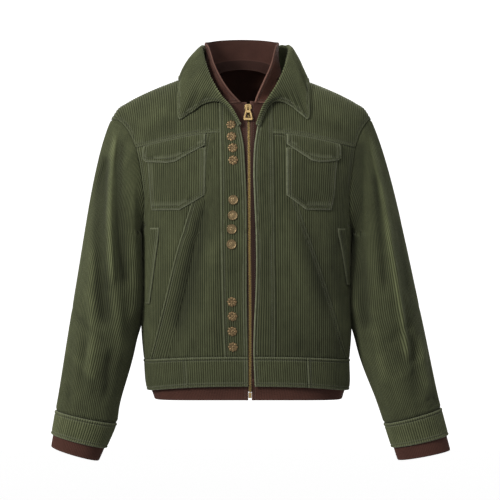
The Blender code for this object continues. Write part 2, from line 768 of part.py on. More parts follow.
SLEEVE_STEPS = (0, 0.13, 0.26, 0.4, 0.55, 0.7, 0.85, 1.0, 1.33, 1.67, 2.0, 2.4, 2.8, 3.2, 3.6, 3.9966)
CUFF_STEPS = (4.0034, 4.5, 5.0)
INNER_CUFF_STEPS = (4.6, 5.0, 5.52)
CUFF_GAP = 0.8  # between the two cuffs


def sleeve_and_cuff(side, material, seam):
    """A sleeve from its armhole seam to its cuff seam, and its cuff: one tube, parted at the seam."""
    loop = [s[0] for s in seam]
    steps = (*SLEEVE_STEPS, *CUFF_STEPS)
    rings = [[sleeve_point(side, step, i, loop) for i in range(len(loop))] for step in steps]
    outers, inners = np.array(rings), ring_inners(rings, steps, WALL)
    for i, (point, inside, _, leave) in enumerate(seam):
        outers[0, i] = point + leave * SEAM_GAP / 2
        inners[0, i] = inside + leave * SEAM_GAP / 2
    parts = {"sleeve": slice(0, len(SLEEVE_STEPS)), "cuff": slice(len(SLEEVE_STEPS), len(rings))}
    for name, rows in parts.items():
        wall_object(f"{name}_{SIDE_NAMES[side]}", outers[rows], inners[rows], material, ring=True)


def inner_cuff(side, material):
    """The brown cuff that shows below the corduroy one."""
    count = 2 * HALF_LOOP
    rings = []
    for step in INNER_CUFF_STEPS:
        rings.append([sleeve_ring(side, step, 2 * math.pi * i / count) for i in range(count)])
    outer = ring_inners(rings, INNER_CUFF_STEPS, WALL + CUFF_GAP)
    inner = ring_inners(rings, INNER_CUFF_STEPS, WALL + CUFF_GAP + RIB_WALL)
    return wall_object(f"inner_cuff_{SIDE_NAMES[side]}", outer, inner, material, ring=True)


WAISTBAND_SEAM = 108.0  # from the centre to the upright seams of the waistband
FRONT_CELLS, BACK_CELLS = 5, 24
HEM_ROWS = (HEM_LEVEL, -250.0, WAIST_LEVEL - SEAM_GAP / 2)


def band_turns(level):
    """The waistband's columns at a level, from the left front edge round the back to the right one, by piece."""
    centre, z = trunk_at(level).centre, UNDERARM + level
    front = {}
    for side in (LEFT, RIGHT):
        edge = turn_at(EDGE_AT[SIDE_NAMES[side]](z), level)
        near = turn_at(centre + side * (WAISTBAND_SEAM - SEAM_GAP / 2), level)
        front[side] = [edge + (near - edge) * c for c in shares(FRONT_CELLS)]
    first = turn_at(centre + WAISTBAND_SEAM + SEAM_GAP / 2, level)
    last = 2 * math.pi + turn_at(centre - WAISTBAND_SEAM - SEAM_GAP / 2, level)
    rear = [first + (last - first) * c for c in shares(BACK_CELLS)]
    return {"waistband_left": front[LEFT], "waistband_right": front[RIGHT], "waistband_back": rear}


def waistband(material):
    """The three pieces of the waistband."""
    rows = [band_turns(level) for level in HEM_ROWS]
    for name in rows[0]:
        body_wall(name, [[(turn, level) for turn in row[name]] for row, level in zip(rows, HEM_ROWS)], material)


# ---------------------------------------------------------------- collar

COLLAR_ROLL = 3.2  # half the thickness of the fold, outside
SEAM_SHIFT = {0: 2.0, 1: 3.0, 2: 3.4, 3: 2.4, 4: 1.0}  # how far in the stand starts at the front stations
COLLAR_BULGE = {RIGHT: 0.08, LEFT: 0.03}  # how far the fall bows out, as a share of its width


def collar_section(row, side):
    """The outer points of the collar at a station: stand, roll, fall, and the normals there."""
    seam_turn, seam_level = neck_spot(row, side)
    seam = body_point(seam_turn, seam_level)
    roll = np.array([COLLAR_CENTRE_AT(row.roll_height) + side * row.roll_reach, row.roll_depth, row.roll_height])
    centre = EDGE_CENTRE_AT(row.edge_reach) if row.part == "front" else EDGE_CENTRE[-1].x
    spot = shoulder_spot(row.part, centre + side * row.edge_reach, row.edge_height)
    out = np.array([0.0, 0.0, 1.0]) if row.part == "ridge" else body_normal(*spot)
    edge = body_point(*spot) + out * row.edge_lift
    return seam, roll, edge


def collar(material):
    """The collar: from the neck seam up inside, over the roll and down to the free edge."""
    stations = [(row, RIGHT) for row in NECK] + [(row, LEFT) for row in reversed(NECK[:-1])]
    outer, inner = [], []
    middle = np.array([COLLAR_CENTRE_AT(0), -5.0, 20.0])
    previous = None
    for row, side in stations:
        seam, roll, edge = collar_section(row, side)
        seam[0] -= side * SEAM_SHIFT.get(NECK.index(row), 0.0)
        stand, fall = roll - seam, edge - roll
        away = unit(fall - fall @ unit(stand) * unit(stand)) if np.linalg.norm(np.cross(stand, fall)) > 1 else None
        if away is None or away @ (roll - middle) < 0:
            away = previous
        previous = away
        size = min(COLLAR_ROLL, 0.32 * np.linalg.norm(fall), 0.25 * np.linalg.norm(stand))
        up = unit(stand)
        lift = min(2.0, 0.25 * np.linalg.norm(stand))
        base = seam + up * lift
        bulge = COLLAR_BULGE[side] * np.linalg.norm(fall)
        path = [
            base,
            base + (roll - base) * 0.5 - away * 0.3 * size,
            roll - up * size * 1.6 - away * 0.2 * size,
            roll,
            roll - up * size * 0.7 + away * size * 1.5,
            roll + fall * 0.36 + away * (size * 0.9 + bulge * 0.8),
            roll + fall * 0.68 + away * bulge,
            edge,
        ]
        path = np.array(path)
        run = np.gradient(path, axis=0)
        run /= np.linalg.norm(run, axis=1, keepdims=True)
        outer.append(path)
        inner.append(run)
    outer = np.array(outer)
    run = np.array(inner)
    along = np.gradient(outer, axis=0)
    normals = np.cross(along, run)
    normals /= np.linalg.norm(normals, axis=2, keepdims=True)
    roll_index = 3
    up = np.array([0, -0.4, 1.0])
    if (normals[:, roll_index] @ up).sum() < 0:
        normals = -normals
    walls = np.array([row.wall for row, _ in stations])[:, None, None]
    return wall_object("collar", outer, outer - normals * walls, material)


# ---------------------------------------------------------------- pockets, flaps and welts

Outline = namedtuple("Outline", "height near far")
POCKET_ROWS = {
    RIGHT: (
        Outline(-131, -79.5, -185.5),
        Outline(-155, -79.5, -184.5),
        Outline(-185, -80, -182),
        Outline(-216, -80.5, -180),
        Outline(-230, -103, -179),
        Outline(-243, -126, -177),
    ),
    LEFT: (
        Outline(-131, 65, 159),
        Outline(-155, 65, 157),
        Outline(-185, 65, 154),
        Outline(-216, 65, 152),
        Outline(-230, 84, 149),
        Outline(-243, 101, 146),
    ),
}
POCKET_WALL = 1.4
FlapColumn = namedtuple("FlapColumn", "x bottom")
FLAP_COLUMNS = {
    RIGHT: (
        FlapColumn(-192, -150),
        FlapColumn(-187, -155.5),
        FlapColumn(-165, -157.5),
        FlapColumn(-147, -158.5),
        FlapColumn(-133, -156),
        FlapColumn(-106, -141),
        FlapColumn(-80, -127),
    ),
    LEFT: (
        FlapColumn(162.5, -149),
        FlapColumn(158, -153.5),
        FlapColumn(140, -156.5),
        FlapColumn(125, -157.5),
        FlapColumn(111, -155),
        FlapColumn(88, -140),
        FlapColumn(65.5, -125),
    ),
}
FLAP_WALL = 1.6
FLAP_GAP = 0.8  # between a flap and its pocket
FLAP_OUT = PANEL_GAP + POCKET_WALL + FLAP_GAP + FLAP_WALL
Welt = namedtuple("Welt", "height x width")
WELTS = {
    RIGHT: (Welt(-276, -163, 17), Welt(-322, -168, 15), Welt(-368, -174, 12), Welt(-412, -180.5, 8)),
    LEFT: (Welt(-276, 157, 15), Welt(-310, 163, 13), Welt(-345, 169, 10), Welt(-378, 174, 7)),
}
WELT_WALL = 1.6


def chest_pocket(side, material):
    """A patch pocket on the front, with a slanted lower corner."""
    spots = [[body_spot(row.near + (row.far - row.near) * c, row.height) for c in shares(8)] for row in POCKET_ROWS[side]]
    name = f"chest_pocket_{SIDE_NAMES[side]}"
    return body_wall(name, spots, material, out=PANEL_GAP + POCKET_WALL, wall=POCKET_WALL)


def pocket_flap(side, material):
    """The flap that hangs from the yoke seam over the pocket's mouth."""
    rows = []
    outs = [FLAP_OUT, FLAP_OUT, FLAP_OUT, PANEL_GAP + FLAP_WALL]
    for share in (0.0, 0.4, 0.78, 1.0):
        row = []
        for column in FLAP_COLUMNS[side]:
            top = YOKE_AT(abs(column.x - trunk_at(80).centre)) - 0.5
            row.append(body_spot(column.x, column.bottom + (top - column.bottom) * share))
        rows.append(row)
    name = f"pocket_flap_{SIDE_NAMES[side]}"
    return body_wall(name, rows, material, out=outs, wall=FLAP_WALL)


def welt(side, material):
    """The slanted welt of a hand pocket."""
    spots = []
    for row in reversed(WELTS[side]):
        spots.append([body_spot(row.x + side * row.width * c, row.height) for c in shares(2)])
    return body_wall(f"welt_{SIDE_NAMES[side]}", spots, material, out=PANEL_GAP + WELT_WALL, wall=WELT_WALL)


# ---------------------------------------------------------------- the brown inner layer

INNER_OUT = -WALL - 1.2  # its outer face, from the trunk's
ZIP_HALF = 2.8
ZipLine = namedtuple("ZipLine", "height x")
ZIP_LINE = (ZipLine(-600, 0), ZipLine(-400, 0), ZipLine(-314, -0.9), ZipLine(-200, -1.4), ZipLine(-45, -3))
ZIP_AT = columns(ZIP_LINE)["x"]

# The rib's rows: level, and how far it lies inside the trunk's form, which the waistband follows.
RibRow = namedtuple("RibRow", "level inset")
HEM_RIB = (RibRow(-302, 0.5), RibRow(-285, 5.0), RibRow(-263, WALL + 2.0))


def hem_rib(material):
    """The brown band below the waistband, open at the zip, on the waistband's own columns."""
    spots = []
    for row in HEM_RIB:
        turns = band_turns(max(row.level, HEM_LEVEL))
        right = [turn + 2 * math.pi for turn in reversed(turns["waistband_right"])]
        x = ZIP_AT(UNDERARM + row.level)
        first = turn_at(x + ZIP_HALF + SEAM_GAP, row.level)
        last = turn_at(x - ZIP_HALF - SEAM_GAP, row.level) + 2 * math.pi
        joined = [*turns["waistband_left"][1:-1], *turns["waistband_back"], *right[1:-1]]
        spots.append([(turn, row.level) for turn in (first, *joined, last)])
    outs = [-row.inset for row in HEM_RIB]
    return body_wall("hem_rib", spots, material, out=outs, wall=RIB_WALL)


SLIDER_HEIGHT = -57.0  # z of the slider's centre
ZIP_TOP = SLIDER_HEIGHT - 2.5
ZIP_BOTTOM = -571.0
INNER_TOP = -49.5
INNER_BOTTOM = UNDERARM + HEM_RIB[-1].level + SEAM_GAP
ZIP_ROWS = (-515, -485, -455, -425, -395, -365, -335, -305, -275, -245, -215, -185, -155, -125, -98, -77)
STRIP_WIDTH = 38.0


def inner_front(side, material):
    """The brown strip beside the zip, behind the corduroy's front edge."""
    spots = []
    for z in (INNER_BOTTOM, *ZIP_ROWS, INNER_TOP):
        near = ZIP_AT(z) + side * (ZIP_HALF + SEAM_GAP)
        far = ZIP_AT(z) + side * STRIP_WIDTH
        spots.append([body_spot(near + (far - near) * c, z) for c in shares(2)])
    return body_wall(f"inner_front_{SIDE_NAMES[side]}", spots, material, out=INNER_OUT, wall=RIB_WALL)


InnerCollar = namedtuple("InnerCollar", "centre top_reach top_depth top_height base_reach base_depth base_height")
INNER_COLLAR = (
    InnerCollar(-4.5, 12.5, -79, -47, 34, -74, -48.5),
    InnerCollar(-8, 20.5, -79, -36, 41, -67, -37),
    InnerCollar(-11, 31, -77, -20, 51, -58, -22),
    InnerCollar(-12.5, 39, -72, -5, 59, -48, -9),
    InnerCollar(-13, 47, -65, 11, 65, -36, 2),
    InnerCollar(-13.5, 54, -54, 29, 69.5, -22, 10),
    InnerCollar(-14, 58.5, -42, 46, 71.5, -8, 17),
    InnerCollar(-14.5, 63, -24, 60, 71, 10, 22),
    InnerCollar(-15, 69, 2, 69, 64, 27, 28),
    InnerCollar(-15, 62, 34, 73.5, 50, 41, 33),
    InnerCollar(-15.5, 40, 55, 78.5, 32, 49, 38),
    InnerCollar(-16, 0, 64, 81, 0, 55.5, 41),
)


def inner_collar(material):
    """The brown stand collar, open at the front down to the zip."""
    stations = [(row, RIGHT) for row in INNER_COLLAR] + [(row, LEFT) for row in reversed(INNER_COLLAR[:-1])]
    outer = []
    for row, side in stations:
        top = np.array([row.centre + side * row.top_reach, row.top_depth, row.top_height])
        base = np.array([row.centre + side * row.base_reach, row.base_depth, row.base_height])
        outer.append([base, base + (top - base) * 0.5, top])
    outer = np.array(outer)
    normals = np.cross(np.gradient(outer, axis=0), np.gradient(outer, axis=1))
    normals /= np.linalg.norm(normals, axis=2, keepdims=True)
    if (normals * (outer - np.array([-12, 0, 0]))).sum() < 0:
        normals = -normals
    return wall_object("inner_collar", outer, outer - normals * RIB_WALL, material)


FACING_ROWS = 5  # of the back's rows, from the neck down


def neck_facing(material, seams):
    """The brown piece inside the back of the neck, under the back's own rows and columns."""
    grid = back_grid(seams)[0]
    first = SHOULDER_STEPS + 1
    spots = [row[first:-first] for row in grid[-FACING_ROWS:]]
    return body_wall("neck_facing", spots, material, out=INNER_OUT, wall=RIB_WALL)


# ---------------------------------------------------------------- zip and buttons

ZIP_OUT = -WALL - 0.2  # the chain's front, from the trunk's outer face
CHAIN_DEPTH = 2.4


def zip_chain(material):
    """The closed chain, as one bar of its real width."""
    spots = []
    for z in (ZIP_BOTTOM, -546, *ZIP_ROWS, ZIP_TOP):
        x = ZIP_AT(z)
        spots.append([body_spot(x + ZIP_HALF * c, z) for c in (-1, 1)])
    return body_wall("zip_chain", spots, material, out=ZIP_OUT, wall=CHAIN_DEPTH)


def local_frame(x, z, stand=0.0):
    """A frame on the trunk's front at x, z: across, up the cloth, and out of it. In metres."""
    turn, level = body_spot(x, z)
    out = body_normal(turn, level)
    across = unit(np.array([1.0, 0.0, 0.0]) - out * out[0])
    up = np.cross(out, across)
    origin = (body_point(turn, level) + out * stand) * MM
    frame = Matrix([[across[i], up[i], out[i], origin[i]] for i in range(3)] + [[0, 0, 0, 1]])
    return frame


def outline_mesh(name, outlines, thickness, bevel=0.0):
    """A flat plate of closed outlines (the later ones are holes), centred on its thickness, with eased edges."""
    curve = bpy.data.curves.new(name, "CURVE")
    curve.dimensions = "2D"
    curve.fill_mode = "BOTH"
    curve.extrude = (thickness / 2 - bevel) * MM
    curve.bevel_depth = bevel * MM
    curve.bevel_resolution = 0
    for outline in outlines:
        run = curve.splines.new("POLY")
        run.points.add(len(outline) - 1)
        for point, (x, y) in zip(run.points, outline):
            point.co = (x * MM, y * MM, 0, 1)
        run.use_cyclic_u = True
    return curve_mesh(name, curve)


def curve_mesh(name, curve):
    """A curve's solid as a mesh with its caps welded on."""
    guide = bpy.data.objects.new(name + "_guide", curve)
    bpy.context.scene.collection.objects.link(guide)
    bpy.context.view_layer.update()
    mesh = bpy.data.meshes.new_from_object(guide.evaluated_get(bpy.context.evaluated_depsgraph_get()))
    bpy.data.objects.remove(guide)
    bpy.data.curves.remove(curve)
    welded = bmesh.new()
    welded.from_mesh(mesh)
    bmesh.ops.remove_doubles(welded, verts=welded.verts, dist=1e-6)
    bmesh.ops.recalc_face_normals(welded, faces=welded.faces)
    welded.to_mesh(mesh)
    welded.free()
    mesh.name = name
    return mesh


# ---------------------------------------------------------------- buttons

Button = namedtuple("Button", "x height flower")
BUTTONS = (
    Button(-34.0, -89.0, True),
    Button(-33.2, -110.7, True),
    Button(-31.0, -131.2, True),
    Button(-30.1, -153.6, True),
    Button(-29.9, -225.0, False),
    Button(-30.8, -252.7, False),
    Button(-32.5, -277.4, False),
    Button(-33.0, -304.5, False),
    Button(-32.2, -407.3, True),
    Button(-31.3, -433.0, True),
    Button(-31.6, -460.0, True),
    Button(-30.5, -488.0, True),
)
BUTTON_RADIUS = 9.0
BUTTON_THICK = 2.4
BUTTON_EASE = 0.7
PETALS = 8
NOTCH_RADIUS = 7.2  # between two petals
BUTTON_OUT = 0.6  # from the cloth to its back, so its rim clears the placket's curve


def button_outline(flower):
    """A disc's outline, or one with a lobe for each petal."""
    points = []
    for i in range(PETALS * 3):
        radius = BUTTON_RADIUS
        if flower and i % 3 == 0:
            radius = NOTCH_RADIUS
        angle = 2 * math.pi * i / (PETALS * 3)
        points.append((radius * math.cos(angle), radius * math.sin(angle)))
    return points


def buttons(flower_material, disc_material):
    """The twelve buttons in their three groups of four."""
    meshes = {}
    for flower, name, material in ((True, "flower", flower_material), (False, "disc", disc_material)):
        meshes[flower] = outline_mesh(name, [button_outline(flower)], BUTTON_THICK, BUTTON_EASE)
        meshes[flower].materials.append(material)
    for number, button in enumerate(BUTTONS, 1):
        obj = bpy.data.objects.new(f"button_{number}", meshes[button.flower])
        obj.matrix_world = local_frame(button.x, button.height, BUTTON_OUT + BUTTON_THICK / 2)
        bpy.data.collections["corduroy_jacket"].objects.link(obj)


# ---------------------------------------------------------------- the zip's slider, pull and stop

SLIDER_X = -3.6
SLIDER_WIDE = 12.0
SLIDER_TALL = 14.0
PLATE = 1.4
FRONT_PLATE_OUT = -0.35  # the front plate's face, from the trunk's outer face
BACK_PLATE_OUT = INNER_OUT - RIB_WALL - 1.6  # the back plate's inner face
WEB_WIDE = 4.6
BRIDGE_HALF = 4.6
BRIDGE_RISE = 3.8
BRIDGE_RADIUS = 0.9
PULL_AXIS_OUT = 1.1  # the pull's hinge line, from the trunk's outer face
PULL_THICK = 1.5
# The pull's edge and its two holes, right half, from the hinge line down: half width, height.
PULL_EDGE = ((3.2, 0.8), (4.0, -6.6), (5.2, -8.6), (8.4, -23.5), (6.8, -25.5))
PULL_EYE = ((1.6, -0.8), (1.9, -6.2))
PULL_WINDOW = ((3.1, -10.6), (5.4, -21.8))
PULL_TILT = -3.0  # degrees, its rest against the cloth


def box_object(name, width, height, depth, centre):
    """A box cutter or block in a slider's own frame, millimetres."""
    mesh = bpy.data.meshes.new(name)
    made = bmesh.new()
    bmesh.ops.create_cube(made, size=1.0)
    bmesh.ops.scale(made, vec=Vector((width, height, depth)) * MM, verts=made.verts)
    bmesh.ops.translate(made, vec=Vector(centre) * MM, verts=made.verts)
    made.to_mesh(mesh)
    made.free()
    return bpy.data.objects.new(name, mesh)


def zip_slider(material):
    """The slider: two plates on a web, with a bridge for the pull."""
    group = bpy.data.collections.new("cutters")
    bpy.context.scene.collection.children.link(group)
    half, tall, neck = SLIDER_WIDE / 2, SLIDER_TALL / 2, SLIDER_WIDE * 0.3
    plate = [(-neck, -tall), (neck, -tall), (half, -1), (half * 0.95, tall * 0.7), (half * 0.5, tall)]
    plate = plate + [(-x, y) for x, y in reversed(plate[2:])]
    body = bpy.data.objects.new("zip_slider", outline_mesh("zip_slider", [plate], PLATE, 0.3))
    body.data.transform(Matrix.Translation((0, 0, (FRONT_PLATE_OUT - PLATE / 2) * MM)))
    rear = bpy.data.objects.new("rear_plate", outline_mesh("rear_plate", [plate], PLATE, 0.3))
    rear.data.transform(Matrix.Translation((0, 0, (BACK_PLATE_OUT - PLATE / 2) * MM)))
    web_low, web_high = BACK_PLATE_OUT - PLATE / 2, FRONT_PLATE_OUT - PLATE / 2
    web = box_object("web", WEB_WIDE, 7.0, web_high - web_low, (0, 2.0, (web_low + web_high) / 2))
    path = bpy.data.curves.new("bridge", "CURVE")
    path.dimensions = "3D"
    path.bevel_depth = BRIDGE_RADIUS * MM
    path.bevel_resolution = 1
    path.use_fill_caps = True
    run = path.splines.new("POLY")
    steps = 8
    run.points.add(steps)
    for i, point in enumerate(run.points):
        turn = math.pi * i / steps
        rise = FRONT_PLATE_OUT - 0.5 + (BRIDGE_RISE + 0.5) * math.sin(turn) ** 0.7
        point.co = (0, BRIDGE_HALF * math.cos(turn) * MM, rise * MM, 1)
    bridge = bpy.data.objects.new("bridge", curve_mesh("bridge", path))
    frame = local_frame(SLIDER_X, SLIDER_HEIGHT)
    for tool in (rear, web, bridge):
        tool.hide_render = True
        tool.display_type = "WIRE"
        tool.matrix_world = frame
        group.objects.link(tool)
        union = body.modifiers.new(tool.name, "BOOLEAN")
        union.operation = "UNION"
        union.object = tool
    body.matrix_world = frame
    place(body, material)
    return frame


def zip_pull(frame, material):
    """The pull: a flat frame that hangs from the bridge and turns about its top bar."""
    outlines = [[*edge, *((-x, y) for x, y in reversed(edge))] for edge in (PULL_EDGE, PULL_EYE, PULL_WINDOW)]
    pull = bpy.data.objects.new("zip_pull", outline_mesh("zip_pull", outlines, PULL_THICK, 0.3))
    hinge = Matrix.Translation((0, 0, PULL_AXIS_OUT * MM)) @ Matrix.Rotation(math.radians(PULL_TILT), 4, "X")
    pull.matrix_world = frame @ hinge
    place(pull, material)


def zip_stop(material):
    """The block that joins the chain's two sides at the bottom."""
    height = 10.0
    block = box_object("zip_stop", 2 * ZIP_HALF, height, CHAIN_DEPTH + 0.6, (0, 0, 0))
    z = ZIP_BOTTOM - SEAM_GAP - height / 2
    block.matrix_world = local_frame(ZIP_AT(z), z, ZIP_OUT - CHAIN_DEPTH / 2)
    ease = block.modifiers.new("ease", "BEVEL")
    ease.width = 0.4 * MM
    ease.segments = 1
    place(block, material)


def main():
    """Builds the whole jacket."""
    for obj in list(bpy.data.objects):
        bpy.data.objects.remove(obj)
    group = bpy.data.collections.new("corduroy_jacket")
    bpy.context.scene.collection.children.link(group)
    corduroy = finish("olive_corduroy", (0.055, 0.059, 0.029), 0.85, 0.0)
    brown = finish("brown_knit", (0.068, 0.031, 0.023), 0.9, 0.0)
    zip_brass = finish("zip_brass", (0.28, 0.19, 0.08), 0.4, 1.0)
    brass = finish("antique_brass", (0.25, 0.18, 0.085), 0.4, 1.0)
    copper = finish("antique_copper", (0.2, 0.11, 0.06), 0.45, 1.0)
    seams = {side: armhole_seam(side) for side in (RIGHT, LEFT)}
    for side in (RIGHT, LEFT):
        placket(side, corduroy)
        centre_front(side, corduroy)
        side_front(side, corduroy, seams[side])
        yoke(side, corduroy, seams[side])
        sleeve_and_cuff(side, corduroy, seams[side])
        inner_cuff(side, brown)
        chest_pocket(side, corduroy)
        pocket_flap(side, corduroy)
        welt(side, corduroy)
        inner_front(side, brown)
    back(corduroy, seams)
    waistband(corduroy)
    collar(corduroy)
    inner_collar(brown)
    neck_facing(brown, seams)
    hem_rib(brown)
    zip_chain(zip_brass)
    frame = zip_slider(zip_brass)
    zip_pull(frame, zip_brass)
    zip_stop(zip_brass)
    buttons(copper, brass)


def finish(name, colour, roughness, metallic):
    """A material with the part's plain colour and gloss."""
    material = bpy.data.materials.new(name)
    material.use_nodes = True
    shader = material.node_tree.nodes["Principled BSDF"]
    shader.inputs["Base Color"].default_value = (*colour, 1)
    shader.inputs["Roughness"].default_value = roughness
    shader.inputs["Metallic"].default_value = metallic
    return material


main()
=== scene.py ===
"""Looks of a corduroy jacket over a mock inner layer, dressed on its construction solids.

Blender 4.5. The tables are in millimetres and the model in metres, +Z up, front towards -Y. The
origin is at the base of the neck. "Right" and "left" are the wearer's, so the right half is at -X.

The trunk is one smooth form. Its cloth is cut in lanes: a lane is a line down the cloth, named by
its distance round the trunk from the front or back centre, and the wales of the corduroy follow the
lanes, so that a slanted seam cuts them as shears do. Each panel is a wall of its own with the wales
as real ridges.
"""

from __future__ import annotations

import json
import logging
import math
from dataclasses import dataclass, field
from enum import Enum
from typing import Callable, NamedTuple, Sequence

import bmesh
import bpy
import numpy as np
from mathutils import Matrix, Vector

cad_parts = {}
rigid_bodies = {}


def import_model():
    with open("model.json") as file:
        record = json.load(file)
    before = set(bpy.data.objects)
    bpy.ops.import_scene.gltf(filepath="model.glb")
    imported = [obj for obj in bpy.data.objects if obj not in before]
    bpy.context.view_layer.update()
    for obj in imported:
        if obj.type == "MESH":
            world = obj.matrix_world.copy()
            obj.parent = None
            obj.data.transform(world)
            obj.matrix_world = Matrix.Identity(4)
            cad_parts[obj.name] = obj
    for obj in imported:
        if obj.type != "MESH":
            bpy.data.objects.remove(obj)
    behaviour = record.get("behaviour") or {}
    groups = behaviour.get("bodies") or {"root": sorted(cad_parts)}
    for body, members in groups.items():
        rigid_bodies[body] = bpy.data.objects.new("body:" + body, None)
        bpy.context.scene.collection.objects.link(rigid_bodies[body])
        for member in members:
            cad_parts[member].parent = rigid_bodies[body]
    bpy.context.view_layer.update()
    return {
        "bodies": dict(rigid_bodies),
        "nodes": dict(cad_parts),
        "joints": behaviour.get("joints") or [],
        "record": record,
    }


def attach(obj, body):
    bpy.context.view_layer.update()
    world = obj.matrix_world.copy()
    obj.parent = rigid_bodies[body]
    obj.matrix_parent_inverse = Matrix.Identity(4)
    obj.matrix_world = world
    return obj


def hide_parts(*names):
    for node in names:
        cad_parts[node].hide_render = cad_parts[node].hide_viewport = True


LOG = logging.getLogger("jacket")
Array = np.ndarray
MM = 0.001
FAR = 1e9  # a distance that is never reached
BODY = "jacket"


class Side(Enum):
    """The wearer's sides, by the sign of X."""

    RIGHT = -1
    LEFT = 1

    @property
    def label(self) -> str:
        """The side's word in piece names."""
        return self.name.lower()


# ---------------------------------------------------------------- numbers


def knots(keys: Array, key: Array) -> tuple[Array, Array, Array]:
    """Finds where keys lie between rising knots.

    Args:
        keys: The knots.
        key: The keys, which are held between the first knot and the last.

    Returns:
        The number of the knot below each, the step from it to the next, and the share of that step.
    """
    key = np.clip(key, keys[0], keys[-1])
    i = np.clip(np.searchsorted(keys, key, side="right") - 1, 0, len(keys) - 2)
    step = keys[i + 1] - keys[i]
    return i, step, (key - keys[i]) / step


def hermite(t: Array, low: Array, high: Array, leave: Array, arrive: Array) -> Array:
    """Joins two values smoothly: t is the share of the way, leave and arrive the slopes over all of it."""
    start = (1 + 2 * t) * (1 - t) ** 2 * low + t * (1 - t) ** 2 * leave
    return start + t * t * (3 - 2 * t) * high + t * t * (t - 1) * arrive


class Curve:
    """A smooth curve through the columns of a table, level beyond its ends."""

    def __init__(self, keys: Sequence[float], values: Sequence[float]) -> None:
        """Keeps the knots: rising keys and the value at each."""
        self.keys, self.values = np.array(keys, float), np.array(values, float)
        self.slopes = np.gradient(self.values, self.keys)

    def __call__(self, key: Array | float) -> Array:
        """The curve's values at keys."""
        i, step, t = knots(self.keys, np.asarray(key, float))
        return hermite(t, self.values[i], self.values[i + 1], step * self.slopes[i], step * self.slopes[i + 1])


def unit(vectors: Array) -> Array:
    """Scales vectors, along the last axis, to length one."""
    return vectors / np.maximum(np.linalg.norm(vectors, axis=-1, keepdims=True), 1e-12)


def bell(distance: Array, width: float) -> Array:
    """A hump from 1 at no distance down to nearly 0 at twice the width."""
    return np.exp(-((distance / width) ** 2))


def window(share: Array, steep: float) -> Array:
    """About 1 for shares between 0 and 1 and about 0 outside."""
    return 1 / (1 + np.exp(-steep * share)) / (1 + np.exp(steep * (share - 1)))


def eased(share: Array) -> Array:
    """Eases a share from 0 to 1."""
    share = np.clip(share, 0, 1)
    return share * share * (3 - 2 * share)


def signed_power(value: Array, power: float) -> Array:
    """Raises a size to a power and keeps its sign."""
    return np.sign(value) * np.abs(value) ** power


def run_length(points: Array, axis: int) -> Array:
    """Measures the distance along one axis of a grid of points.

    Args:
        points: Rows by columns by 3.
        axis: 0 to measure up the columns, 1 along the rows.

    Returns:
        The length from the first point, rows by columns.
    """
    steps = np.linalg.norm(np.diff(points, axis=axis), axis=2)
    start = np.zeros_like(steps.take([0], axis=axis))
    return np.concatenate([start, np.cumsum(steps, axis=axis)], axis=axis)


def refine(grid: Array, axis: int, at: Array) -> Array:
    """Reads a grid smoothly between its rows or columns.

    Args:
        grid: Rows by columns by any.
        axis: The axis to refine.
        at: Where to read it, counted in rows or columns.

    Returns:
        The finer grid.
    """
    slopes = np.gradient(grid, axis=axis)
    i, _, t = knots(np.arange(grid.shape[axis], dtype=float), at)
    t = t.reshape([-1 if k == axis else 1 for k in range(grid.ndim)])
    ends = (grid, i), (grid, i + 1), (slopes, i), (slopes, i + 1)
    return hermite(t, *(store.take(k, axis=axis) for store, k in ends))


EDGE_STEPS = (0.0, 0.4, 1.0, 1.9, 3.2, 4.6, 5.2, 5.7, 6.3, 7.4, 9.5)


def spread(length: float, step: float, low: bool = True, high: bool = True) -> Array:
    """Places rows along a panel, close together where an edge is sewn.

    Args:
        length: The panel's length in millimetres.
        step: The distance between rows in its middle.
        low: Whether the lower end is an edge.
        high: Whether the upper end is an edge.

    Returns:
        The rows' places as shares of the length.
    """
    near = [d for d in (EDGE_STEPS if low else (0.0,)) if d < 0.4 * length]
    far = [d for d in (EDGE_STEPS if high else (0.0,)) if d < 0.4 * length]
    count = max(2, math.ceil((length - near[-1] - far[-1]) / step) + 1)
    middle = np.linspace(near[-1], length - far[-1], count)
    return np.concatenate([near[:-1], middle, [length - d for d in reversed(far[:-1])]]) / length


def ripple(a: Array, b: Array, seed: int) -> Array:
    """A soft, uneven pattern from -1 to 1 over two coordinates in millimetres.

    Args:
        a: The first coordinate.
        b: The second one.
        seed: Which pattern.

    Returns:
        The pattern's values.
    """
    made = np.zeros(np.broadcast(a, b).shape)
    dice = np.random.default_rng(seed)
    for size in (70.0, 41.0, 23.0):
        turn, first, second = dice.uniform(0, 2 * math.pi, 3)
        along = (a * math.cos(turn) + b * math.sin(turn)) * 2 * math.pi / size
        made = made + np.sin(along + first) * np.cos(0.7 * along * math.sin(second) + second)
    return made / 3


# ---------------------------------------------------------------- folds


class Fold(NamedTuple):
    """A straight trough (positive depth) or ridge in the front or the back view."""

    x0: float
    z0: float
    x1: float
    z1: float
    width: float
    depth: float
    steep: float = 14.0

    def press(self, x: Array, z: Array) -> Array:
        """Measures how far the fold pushes the cloth in.

        Args:
            x: Places across.
            z: Places up.

        Returns:
            The depth at each, in millimetres.
        """
        way = np.array([self.x1 - self.x0, self.z1 - self.z0])
        length = np.linalg.norm(way)
        share = ((x - self.x0) * way[0] + (z - self.z0) * way[1]) / length**2
        away = np.abs((x - self.x0) * way[1] - (z - self.z0) * way[0]) / length
        return self.depth * window(share, self.steep) * bell(away, self.width)


